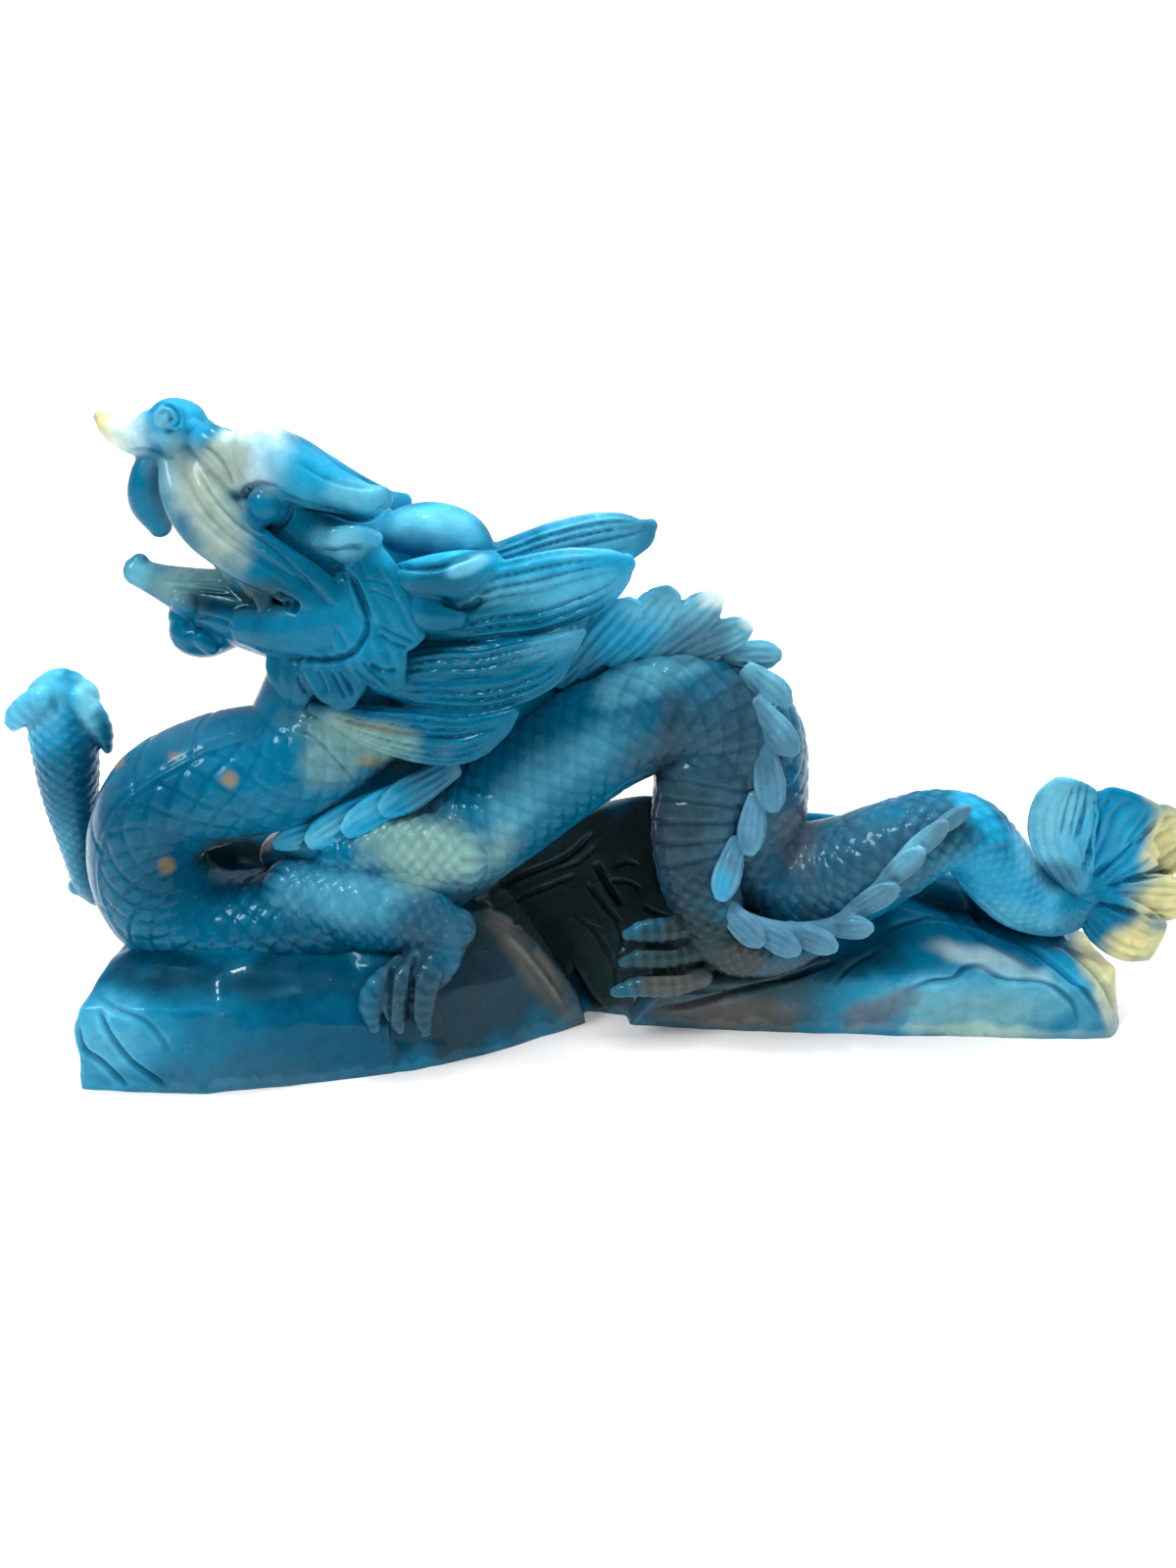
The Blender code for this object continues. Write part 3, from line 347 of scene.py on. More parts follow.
class Carving(Enum):
    """What is cut into a form's surface."""

    PLAIN = "plain"
    BODY = "body"
    LIMB = "limb"
    THIGH = "thigh"
    LOCK = "lock"
    FRILL = "frill"
    TOE = "toe"
    TUFT = "tuft"
    LEAF = "leaf"


# Hair grooves: how many lie over a form's width and how deep they are, in metres
STRANDS = {Carving.LOCK: (8.0, 0.00085), Carving.FRILL: (4.0, 0.00035), Carving.TUFT: (6.0, 0.00060),
           Carving.LEAF: (4.0, 0.00038)}


def smooth_path(rows: np.ndarray, count: int) -> np.ndarray:
    """Even samples of a smooth curve through the rows.

    Args:
        rows: one row per knot, place first; every column is followed alike.
        count: how many samples.

    Returns:
        count rows with the same columns.
    """
    rows = np.array(rows, float)
    knots = np.vstack([2 * rows[0] - rows[1], rows, 2 * rows[-1] - rows[-2]])
    fine = []
    for i in range(1, len(knots) - 2):
        p0, p1, p2, p3 = knots[i - 1:i + 3]
        u = np.linspace(0, 1, CURVE_SAMPLES, endpoint=False)[:, None]
        fine.append(0.5 * (2 * p1 + (p2 - p0) * u + (2 * p0 - 5 * p1 + 4 * p2 - p3) * u ** 2
                           + (3 * p1 - p0 - 3 * p2 + p3) * u ** 3))
    fine = np.vstack(fine + [rows[-1:]])
    run = np.r_[0, np.cumsum(np.linalg.norm(np.diff(fine[:, :3], axis=0), axis=1))]
    even = np.linspace(0, run[-1], count)
    return np.stack([np.interp(even, run, fine[:, k]) for k in range(rows.shape[1])], axis=1)


def directions(path: np.ndarray) -> tuple:
    """Along, across and depth directions at each sample of a path; depth keeps closest to +Y.

    Args:
        path: samples of a middle line, place first.

    Returns:
        Three arrays of unit vectors.
    """
    along = np.gradient(path[:, :3], axis=0)
    along /= np.linalg.norm(along, axis=1)[:, None]
    depth = np.array([0, 1, 0]) - along[:, 1:2] * along
    depth /= np.linalg.norm(depth, axis=1)[:, None]
    return along, np.cross(along, depth), depth


def vertex_rows(values: object, name: str) -> np.ndarray:
    """A mesh's vertices or vertex normals as an array with three columns."""
    rows = np.empty(len(values) * 3)
    values.foreach_get(name, rows)
    return rows.reshape(-1, 3)


def squared(value: np.ndarray, power: float) -> np.ndarray:
    """A sine or cosine raised to a power with its sign kept."""
    return np.copysign(np.abs(value) ** power, value)


def soft_step(value: np.ndarray, low: float, high: float) -> np.ndarray:
    """Zero below low, one above high, smooth between."""
    t = np.clip((value - low) / (high - low), 0, 1)
    return t * t * (3 - 2 * t)


def groove(distance: np.ndarray, half_width: float) -> np.ndarray:
    """The cut of a graver: one on its line, nothing beyond its half width."""
    return np.clip(1 - np.abs(distance) / half_width, 0, 1) ** 1.3


def nearest_line(phase: np.ndarray) -> np.ndarray:
    """Signed distance of a phase from the nearest whole number."""
    return phase - np.round(phase)


def wander(points: np.ndarray, size: float, seed: int) -> np.ndarray:
    """A slow, smooth variation over space, about -1 to 1.

    Args:
        points: places in metres.
        size: length of its waves in metres.
        seed: picks another pattern.

    Returns:
        One value per point.
    """
    random = np.random.default_rng(seed)
    total = np.zeros(len(points))
    for _ in range(5):
        wave = random.normal(size=3)
        wave *= 2 * math.pi / size / np.linalg.norm(wave) * random.uniform(0.6, 1.5)
        total += np.sin(points @ wave + random.uniform(0, 2 * math.pi))
    return total / 3


def front_view(points: np.ndarray) -> np.ndarray:
    """Where points fall in the front view.

    Args:
        points: places in metres.

    Returns:
        Pixel columns and rows.
    """
    x, y, z = (points - np.array(CAMERA_PLACE)).T
    ahead = y * math.cos(CAMERA_TILT) - z * math.sin(CAMERA_TILT)
    down = -z * math.cos(CAMERA_TILT) - y * math.sin(CAMERA_TILT)
    middle = np.array(VIEW_SIZE) / 2
    return middle + FOCAL_PIXELS * np.stack([x / ahead, down / ahead], axis=1)


def view_ray(column: float, row: float) -> np.ndarray:
    """The direction from the eye to a pixel, one unit ahead of the eye."""
    across = (column - VIEW_SIZE[0] / 2) / FOCAL_PIXELS
    down = (row - VIEW_SIZE[1] / 2) / FOCAL_PIXELS
    ahead = math.cos(CAMERA_TILT) - down * math.sin(CAMERA_TILT)
    return np.array([across, ahead, -math.sin(CAMERA_TILT) - down * math.cos(CAMERA_TILT)])


def from_view(column: float, row: float, depth: float) -> tuple:
    """The place seen at a pixel of the front view.

    Args:
        column, row: the pixel.
        depth: how far the place lies behind the statue's middle plane, in steps.

    Returns:
        The place and the size of a pixel there, in metres.
    """
    ray = view_ray(column, row)
    reach = (depth * STEP + EYE_BACK) / ray[1]
    return np.array(CAMERA_PLACE) + ray * reach, reach / FOCAL_PIXELS


def on_floor(column: float, row: float) -> np.ndarray:
    """The place on the floor seen at a pixel, in metres."""
    ray = view_ray(column, row)
    return np.array(CAMERA_PLACE) - ray * EYE_UP / ray[2]


def to_metres(rows: list, mirrored: bool = False) -> list:
    """A form's rows in metres, on the far side of the head's middle plane if mirrored."""
    made = []
    for column, row, depth, half_height, half_depth, *rest in rows:
        place, pixel = from_view(column, row, depth)
        if mirrored:
            place[1] -= 2 * depth * STEP
            place[2] += 2 * HEAD_LEAN * depth * STEP
        made.append((*place, half_height * pixel, half_depth * pixel, *rest))
    return made


@dataclass(frozen=True)
class Surface:
    """The vertices of a form before it is carved.

    run is the length along the middle line at each of its samples, path; place is each vertex's sample, turn
    its angle round the form and co its place in metres.
    """

    run: np.ndarray
    path: np.ndarray
    place: np.ndarray
    turn: np.ndarray
    co: np.ndarray

    @property
    def share(self) -> np.ndarray:
        """Each vertex's place along the form, 0 to 1."""
        return self.place / (len(self.path) - 1)

    @property
    def thick(self) -> np.ndarray:
        """The form's mean half size at each sample of its middle line."""
        return (self.path[:, 3] + self.path[:, 4]) / 2


@dataclass
class Form:
    """A rounded form drawn out along a middle line and carved.

    rows are in metres; slab under 1 squares its oval section.
    """

    rows: list
    carving: Carving = Carving.PLAIN
    slab: float = 1.0
    seed: int = 1

    def path(self, count: int) -> np.ndarray:
        """Samples of the middle line."""
        return smooth_path(self.rows, count)

    def length(self) -> float:
        """Length of the middle line in metres."""
        return float(np.sum(np.linalg.norm(np.diff(self.path(40)[:, :3], axis=0), axis=1)))

    def build(self, grain: float) -> bpy.types.Mesh:
        """Makes the carved form.

        Args:
            grain: distance between its vertices in metres.

        Returns:
            A closed mesh.
        """
        size = max(max(row[3], row[4]) for row in self.rows)
        least = min(max(row[3] for row in self.rows), max(row[4] for row in self.rows))
        count = max(12, round(self.length() / grain))
        around = max(16, round(2 * math.pi * size * 0.85 / grain))
        cap = max(6, round(least / grain))
        path = self.path(count)
        along, across, depth = directions(path)
        rings = count + 2 * cap - 1
        form = bmesh.new()
        bmesh.ops.create_uvsphere(form, u_segments=around, v_segments=rings, radius=1.0)
        mesh = bpy.data.meshes.new("form")
        form.to_mesh(mesh)
        form.free()
        unit = vertex_rows(mesh.vertices, "co")
        fall = np.arctan2(np.hypot(unit[:, 0], unit[:, 1]), unit[:, 2])
        ring = np.round(fall / math.pi * rings).astype(int)
        turn = np.arctan2(unit[:, 1], unit[:, 0])
        place = np.clip(ring - cap, 0, count - 1)
        over = np.maximum(np.maximum(cap - ring, ring - cap - count + 1), 0) / cap * math.pi / 2
        side = np.where(ring < cap, -1.0, 1.0)
        half_height, half_depth = path[place, 3], path[place, 4]
        bulge = side * np.minimum(half_height, half_depth) * np.sin(over)
        up, out = squared(np.cos(turn), self.slab), squared(np.sin(turn), self.slab)
        co = (path[place, :3] + along[place] * bulge[:, None]
              + across[place] * (half_height * np.cos(over) * up)[:, None]
              - depth[place] * (half_depth * np.cos(over) * out)[:, None])
        normal = (across[place] * (np.cos(over) * np.cos(turn) / half_height)[:, None]
                  - depth[place] * (np.cos(over) * np.sin(turn) / half_depth)[:, None]
                  + along[place] * (side * np.sin(over) / np.minimum(half_height, half_depth))[:, None])
        normal /= np.linalg.norm(normal, axis=1)[:, None]
        run = np.r_[0, np.cumsum(np.linalg.norm(np.diff(path[:, :3], axis=0), axis=1))]
        cut = self.relief(Surface(run, path, place, turn, co)) * np.cos(over) ** 0.5
        co += normal * cut[:, None]
        mesh.vertices.foreach_set("co", co.ravel())
        return mesh

    def relief(self, face: Surface) -> np.ndarray:
        """How far the carving raises or lowers each vertex, in metres."""
        if self.carving == Carving.BODY:
            return self.body_scales(face)
        if self.carving in (Carving.LIMB, Carving.THIGH):
            return self.limb_scales(face)
        if self.carving in STRANDS:
            return self.strands(face, *STRANDS[self.carving])
        if self.carving == Carving.TOE:
            wave = face.run[face.place] / TOE_PITCH
            return 0.00020 * (np.abs(np.sin(math.pi * wave)) - 0.6) * soft_step(face.share, 0.05, 0.2)
        return np.zeros(len(face.turn))

    def strands(self, face: Surface, lines: float, deep: float) -> np.ndarray:
        """Hair grooves that run along a lock, closing up towards its root.

        Args:
            face: the form's surface.
            lines: number of grooves over the width.
            deep: depth of a groove in metres.

        Returns:
            Metres, outwards positive.
        """
        width = squared(np.cos(face.turn), self.slab)
        phase = width * lines / 2 + 0.10 * wander(face.co, 0.012, self.seed) + 0.25
        cut = groove(nearest_line(phase), 0.24)
        start = 0.10 + 0.08 * np.sin(np.round(phase) * 2.4 + self.seed)
        stop = 0.93 + 0.05 * np.sin(np.round(phase) * 4.1 + self.seed)
        fade = soft_step(face.share, start, start + 0.14)
        fade = fade * (1 - soft_step(face.share, stop - 0.1, stop + 0.05))
        swell = 0.3 * deep * np.cos(2 * math.pi * phase + math.pi)
        return (-deep * cut + swell) * fade * soft_step(np.abs(np.sin(face.turn)), 0.05, 0.3)

    def scale_net(self, face: Surface, cells: int, lean: object, deep: float) -> np.ndarray:
        """Crossed grooves that leave a net of lozenge scales.

        Args:
            face: the form's surface.
            cells: scales in one ring.
            lean: length of a scale against its width, one number or one for each sample.
            deep: depth of a groove in metres.

        Returns:
            Metres, outwards positive.
        """
        pitch = 2 * math.pi * face.thick / cells * lean
        count = np.r_[0, np.cumsum(np.diff(face.run) / ((pitch[1:] + pitch[:-1]) / 2))][face.place]
        sideways = face.turn * cells / (2 * math.pi)
        first = count + sideways + 0.11 * wander(face.co, 0.016, self.seed)
        second = count - sideways + 0.11 * wander(face.co, 0.014, self.seed + 7)
        across = (cells / (2 * math.pi * face.thick[face.place])) ** 2
        apart = 1 / np.sqrt(1 / pitch[face.place] ** 2 + across)
        near = np.minimum(np.abs(nearest_line(first)), np.abs(nearest_line(second))) * apart
        slope = (first - np.floor(first) + second - np.floor(second)) / 2 - 0.5
        light_hand = 0.8 + 0.3 * wander(face.co, 0.02, self.seed + 3)
        return -deep * light_hand * groove(near, SCALE_CUT) + SCALE_SLOPE * slope

    def body_scales(self, face: Surface) -> np.ndarray:
        """Scales all round the body, but for a polished band under the belly."""
        belly = np.radians(face.path[face.place, 5]) + math.pi
        off = np.abs((face.turn - belly + math.pi) % (2 * math.pi) - math.pi)
        thick = face.thick[face.place]
        reach = off * thick
        edge = thick * (1.30 - 0.42 * soft_step(face.share, 0.34, 0.48))
        band = 1 - soft_step(reach, edge - 0.0001, edge + 0.0005)
        samples = np.arange(len(face.path)) / (len(face.path) - 1)
        net = self.scale_net(face, 13, 0.82 - 0.20 * soft_step(samples, 0.38, 0.5), SCALE_DEEP)
        borders = groove(reach - edge, 0.00045) + 0.8 * groove(reach - edge + BORDER_GAP, 0.0004)
        plates = nearest_line(face.run[face.place] / PLATE_PITCH + 0.18 * np.cos(off * 2)) * PLATE_PITCH
        bars = groove(plates, 0.00045) * band
        return net * (1 - band) - SCALE_DEEP * borders - 0.00040 * bars + 0.00018 * band

    def limb_scales(self, face: Surface) -> np.ndarray:
        """Smaller scales on the legs; the thigh has curved ribs on its front as well."""
        net = self.scale_net(face, 11, 0.72, SMALL_SCALE_DEEP)
        if self.carving != Carving.THIGH:
            return net
        ribs = nearest_line(face.run[face.place] / RIB_PITCH + 0.35 * np.cos(face.turn)) * RIB_PITCH
        ribbed = soft_step(face.share, 0.15, 0.25) * (1 - soft_step(face.share, 0.6, 0.7))
        ribbed = ribbed * soft_step(np.sin(face.turn), 0.1, 0.4)
        return net * (1 - ribbed) - 0.00055 * groove(ribs, 0.0006) * ribbed


@dataclass
class Stroke:
    """A cut laid out on the front view: its pixels, half width in pixels and depth in metres."""

    points: list
    half_width: float
    deep: float

    def apply(self, view: np.ndarray, cut: np.ndarray) -> None:
        """Adds the stroke to a surface's cut.

        Args:
            view: each vertex's pixel in the front view.
            cut: depth cut at each vertex, changed in place.
        """
        line = np.array(self.points, float)
        low, high = line.min(axis=0) - self.half_width, line.max(axis=0) + self.half_width
        near = np.nonzero(np.all((view > low) & (view < high), axis=1))[0]
        if len(near) == 0:
            return
        fine = smooth_path(np.c_[line, np.zeros(len(line))], 12 * len(line))[:, :2]
        steps = np.diff(fine, axis=0)
        spans = np.linalg.norm(steps, axis=1)
        run = np.r_[0, np.cumsum(spans)]
        best = np.full(len(near), 1e9)
        where = np.zeros(len(near))
        for k in range(len(steps)):
            offset = view[near] - fine[k]
            t = np.clip(offset @ steps[k] / spans[k] ** 2, 0, 1)
            distance = np.linalg.norm(offset - t[:, None] * steps[k], axis=1)
            closer = distance < best
            best[closer] = distance[closer]
            where[closer] = (run[k] + t[closer] * spans[k]) / run[-1]
        taper = soft_step(np.minimum(where, 1 - where), -0.02, 0.2)
        shape = groove(best, self.half_width)
        if self.half_width >= SOFT_STROKE:
            shape = soft_step(1 - best / self.half_width, 0, 1)
        keep = np.maximum if self.deep > 0 else np.minimum
        cut[near] = keep(cut[near], self.deep * taper * shape)


def evaluated(mesh: bpy.types.Mesh, kind: str, *modifiers: tuple) -> bpy.types.Mesh:
    """Applies modifiers to a mesh.

    Args:
        mesh: the mesh, which is used up.
        kind: the name of the passing object.
        modifiers: the type of each one with its settings.

    Returns:
        The finished mesh.
    """
    lump = bpy.data.objects.new(kind, mesh)
    bpy.context.scene.collection.objects.link(lump)
    for kind, settings in modifiers:
        modifier = lump.modifiers.new(kind.lower(), kind)
        for name, value in settings.items():
            setattr(modifier, name, value)
    bpy.context.view_layer.update()
    made = bpy.data.meshes.new_from_object(lump.evaluated_get(bpy.context.evaluated_depsgraph_get()))
    bpy.data.objects.remove(lump)
    bpy.data.meshes.remove(mesh)
    return made


@dataclass
class Carver:
    """Runs forms together into one piece of stone and cuts the strokes into it."""

    name: str
    grain: float
    most_faces: int
    strokes: list = field(default_factory=list)
    soften: int = 1
    chisel: float = 1.0

    def merge(self, meshes: list) -> bpy.types.Mesh:
        """Runs closed meshes together into one skin.

        Args:
            meshes: the forms, which are used up.

        Returns:
            One closed mesh at the carver's grain.
        """
        heap = bmesh.new()
        for mesh in meshes:
            heap.from_mesh(mesh)
            bpy.data.meshes.remove(mesh)
        bmesh.ops.recalc_face_normals(heap, faces=heap.faces)
        raw = bpy.data.meshes.new(self.name)
        heap.to_mesh(raw)
        heap.free()
        return evaluated(raw, self.name + "_lump", ("REMESH", {"mode": "VOXEL", "voxel_size": self.grain}),
                         ("SMOOTH", {"factor": SOFTENING, "iterations": self.soften}))

    def finish(self, skin: bpy.types.Mesh) -> bpy.types.Object:
        """Cuts the strokes, flattens the foot, thins the faces and makes the finished piece.

        Args:
            skin: the merged mesh, which is used up.

        Returns:
            The piece, riding the statue's body in place of its solid.
        """
        co = vertex_rows(skin.vertices, "co")
        normal = vertex_rows(skin.vertex_normals, "vector")
        view = front_view(co)
        towards = np.array(CAMERA_PLACE) - co
        towards /= np.linalg.norm(towards, axis=1)[:, None]
        facing = soft_step(np.sum(towards * normal, axis=1), 0.05, 0.3)
        cut = np.zeros(len(co))
        for points, half_width, deep in self.strokes:
            Stroke(points, half_width, deep).apply(view, cut)
        chisel = self.chisel * (0.00005 * wander(co, 0.007, 5) + 0.00010 * wander(co, 0.019, 6))
        co += normal * (chisel - cut * facing)[:, None]
        skin.vertices.foreach_set("co", co.ravel())
        skin.update()
        full = 2 * len(skin.polygons)
        thinned = {"use_collapse_triangulate": True, "ratio": min(1.0, self.most_faces / full)}
        mesh = evaluated(skin, self.name + "_lump", ("DECIMATE", thinned))
        mesh = self.cut_foot(mesh)
        mesh.name = self.name
        mesh.shade_smooth()
        piece = bpy.data.objects.new(self.name, mesh)
        bpy.context.scene.collection.objects.link(piece)
        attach(piece, "root")
        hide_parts("dragon_statue")
        LOG.info("%s: %d triangles from %d", self.name, len(mesh.polygons), full)
        return piece

    @staticmethod
    def cut_foot(mesh: bpy.types.Mesh) -> bpy.types.Mesh:
        """Cuts off what lies below the floor and closes the cut with a flat face."""
        if min(v.co.z for v in mesh.vertices) >= 0:
            return mesh
        bm = bmesh.new()
        bm.from_mesh(mesh)
        everything = bm.verts[:] + bm.edges[:] + bm.faces[:]
        sliced = bmesh.ops.bisect_plane(bm, geom=everything, dist=1e-6, plane_co=(0, 0, 0),
                                        plane_no=(0, 0, 1), clear_inner=True)
        rim = [e for e in sliced["geom_cut"] if isinstance(e, bmesh.types.BMEdge)]
        bmesh.ops.holes_fill(bm, edges=rim, sides=0)
        bmesh.ops.triangulate(bm, faces=[f for f in bm.faces if len(f.verts) > 4])
        bm.to_mesh(mesh)
        bm.free()
        return mesh


def rock_mass(foot: list, corners: list) -> bpy.types.Mesh:
    """A faceted mass of rock that runs below the floor.

    Args:
        foot: pixels of its corners on the floor.
        corners: pixels and depths of its other corners.

    Returns:
        A closed mesh.
    """
    bm = bmesh.new()
    verts = []
    for column, row in foot:
        x, y = on_floor(column, row)[:2]
        verts.append(bm.verts.new((x, y, -ROCK_SINK)))
    for column, row, depth in corners:
        verts.append(bm.verts.new(from_view(column, row, depth)[0]))
    bmesh.ops.convex_hull(bm, input=verts)
    mesh = bpy.data.meshes.new("rock")
    bm.to_mesh(mesh)
    bm.free()
    return mesh


def crest_leaf(root: tuple, tip: tuple, half_width: float, root_depth: float, tip_depth: float) -> Form:
    """A leaf of the crest; its sizes are as in CREST_LEAVES."""
    start = from_view(*root, root_depth)[0]
    end, pixel = from_view(*tip, tip_depth)
    rows = []
    for share, width, thick in LEAF_OUTLINE:
        rows.append((*(start + (end - start) * share), half_width * width * pixel, LEAF_THICKNESS * thick))
    return Form(rows, Carving.LEAF, LEAF_SLAB)


@dataclass
class BodyCarving:
    """The dragon's body, from the head to the tail."""

    grain: float = 0.00036
    most_faces: int = 198000

    def build(self) -> bpy.types.Object:
        """Carves the body and returns the piece."""
        meshes = [Form(to_metres(BODY), Carving.BODY, seed=11).build(0.00032)]
        for name in ("loop_web", "loop_back", "nape"):
            meshes.append(Form(to_metres(HEAD_MIDDLE[name])).build(CORE_GRAIN))
        carver = Carver("dragon_body", self.grain, self.most_faces, BODY_STROKES)
        return carver.finish(carver.merge(meshes))


@dataclass
class CrestCarving:
    """The crest: leaves that stand on the hump and the neck or lie along the back and the tail."""

    grain: float = 0.00030
    most_faces: int = 135000

    def build(self) -> bpy.types.Object:
        """Carves the crest and returns the piece."""
        meshes = [Form(to_metres(TAIL_RIBBON)).build(0.0004)]
        for leaf in CREST_LEAVES:
            meshes.append(crest_leaf(*leaf).build(0.0003))
        carver = Carver("dragon_crest", self.grain, self.most_faces)
        return carver.finish(carver.merge(meshes))


@dataclass
class HeadCarving:
    """The head with its brows, jaws, ears and pleated frill."""

    grain: float = 0.00034
    most_faces: int = 196000

    def build(self) -> bpy.types.Object:
        """Carves the head and returns the piece."""
        meshes = []
        for name in ("snout", "nose", "lip_tip", "front_fang", "skull", "forehead", "jaw", "jaw_tip", "chin",
                     "throat"):
            meshes.append(Form(to_metres(HEAD_MIDDLE[name])).build(PLAIN_GRAIN))
        for name, rows in HEAD_PAIRED.items():
            if name.startswith(("lock", "curl")):
                continue
            carving, slab = Carving.PLAIN, 1.0
            if name.startswith("frill"):
                carving, slab = Carving.FRILL, LOCK_SLAB
                rows = [(*row[:3], row[3] * FRILL_SPREAD, row[4]) for row in rows]
            for far in (False, True):
                meshes.append(Form(to_metres(rows, far), carving, slab, seed=len(name)).build(0.0004))
        carver = Carver("dragon_head", self.grain, self.most_faces, HEAD_STROKES)
        return carver.finish(carver.merge(meshes))


@dataclass
class ManeCarving:
    """The mane: fans of grooved locks and rounded curls behind the head."""

    grain: float = 0.00034
    most_faces: int = 165000

    def build(self) -> bpy.types.Object:
        """Carves the mane and returns the piece."""
        meshes = [Form(to_metres(HEAD_MIDDLE[name])).build(PLAIN_GRAIN) for name in ("mane_core", "curl_top")]
        crown = Form(to_metres(HEAD_MIDDLE["lock_crown"]), Carving.LOCK, LOCK_SLAB, seed=3)
        meshes.append(crown.build(FINE_GRAIN))
        for k, (name, rows) in enumerate(HEAD_PAIRED.items()):
            if not name.startswith(("lock", "curl")):
                continue
            carving, slab = (Carving.LOCK, LOCK_SLAB) if name.startswith("lock") else (Carving.PLAIN, 1.0)
            for far in (False, True):
                meshes.append(Form(to_metres(rows, far), carving, slab, seed=k).build(FINE_GRAIN))
        carver = Carver("dragon_mane", self.grain, self.most_faces, MANE_STROKES)
        return carver.finish(carver.merge(meshes))


@dataclass
class LegCarving:
    """The legs: scaled limbs and ribbed toes."""

    grain: float = 0.00036
    most_faces: int = 140000

    def build(self) -> bpy.types.Object:
        """Carves the legs and returns the piece."""
        meshes = []
        for k, (name, rows) in enumerate(LEGS.items()):
            carving = Carving.LIMB
            if "toe" in name or "shin" in name:
                carving = Carving.TOE
            elif "palm" in name or "elbow" in name:
                carving = Carving.PLAIN
            elif name == "thigh":
                carving = Carving.THIGH
            meshes.append(Form(to_metres(rows), carving, seed=20 + k).build(0.00036))
        carver = Carver("dragon_legs", self.grain, self.most_faces, LEG_STROKES)
        return carver.finish(carver.merge(meshes))


@dataclass
class TuftCarving:
    """The tail's tuft, a fan of grooved leaves."""

    grain: float = 0.00034
    most_faces: int = 90000

    def build(self) -> bpy.types.Object:
        """Carves the tuft and returns the piece."""
        meshes = []
        for k, (name, rows) in enumerate(TUFT.items()):
            carving, slab = (Carving.PLAIN, 1.0) if name == "tuft_core" else (Carving.TUFT, LOCK_SLAB)
            meshes.append(Form(to_metres(rows), carving, slab, seed=40 + k).build(FINE_GRAIN))
        carver = Carver("tail_tuft", self.grain, self.most_faces, TUFT_STROKES)
        return carver.finish(carver.merge(meshes))


@dataclass
class RockCarving:
    """The rock base with its facets, steps and carved leaves."""

    grain: float = 0.00045
    most_faces: int = 160000

    def build(self) -> bpy.types.Object:
        """Carves the rock and returns the piece."""
        meshes = [rock_mass(foot, corners) for foot, corners in ROCKS.values()]
        carver = Carver("rock_base", self.grain, self.most_faces, ROCK_STROKES, soften=14, chisel=3.0)
        return carver.finish(carver.merge(meshes))


# The stone's finish

@dataclass(frozen=True)
class Tint:
    """A linear colour of the stone."""

    colour: tuple


@dataclass(frozen=True)
class Zone:
    """A cloud of another colour in the stone, laid out on the front view.

    centre and radii are in pixels, tilt in degrees, strength 0 to 1, soft its edge as a share of its size.
    """

    tint: Tint
    centre: tuple
    radii: tuple
    tilt: float = 0.0
    strength: float = 1.0
    soft: float = 0.6

    def weight(self, view: np.ndarray, cloud: np.ndarray) -> np.ndarray:
        """The share of this zone at each vertex."""
        angle = math.radians(self.tilt)
        x, y = (view - np.array(self.centre, float)).T
        along = (x * math.cos(angle) + y * math.sin(angle)) / self.radii[0]
        across = (-x * math.sin(angle) + y * math.cos(angle)) / self.radii[1]
        reach = np.hypot(along, across) + 0.28 * cloud
        return self.strength * (1 - soft_step(reach, 1 - self.soft, 1 + self.soft * 0.6))


def srgb(red: int, green: int, blue: int) -> tuple:
    """A linear colour from its screen values."""
    out = []
    for value in (red, green, blue):
        v = value / 255
        out.append(v / 12.92 if v <= 0.04045 else ((v + 0.055) / 1.055) ** 2.4)
    return tuple(out)


BLUE = Tint(srgb(0, 100, 134))
DEEP = Tint(srgb(0, 70, 100))
NIGHT = Tint(srgb(0, 44, 66))
BRIGHT = Tint(srgb(30, 156, 198))
PALE = Tint(srgb(112, 186, 210))
WHITE = Tint(srgb(224, 240, 238))
CREAM = Tint(srgb(224, 206, 146))
TAN = Tint(srgb(126, 160, 154))
OCHRE = Tint(srgb(160, 122, 62))
GREY_TAN = Tint(srgb(160, 172, 160))
SLATE = Tint(srgb(44, 82, 104))
CHARCOAL = Tint(srgb(34, 46, 56))
BLACK = Tint(srgb(38, 48, 48))
RUST = Tint(srgb(92, 80, 74))
MAUVE = Tint(srgb(100, 96, 106))
LEAF_BLUE = Tint(srgb(84, 128, 152))

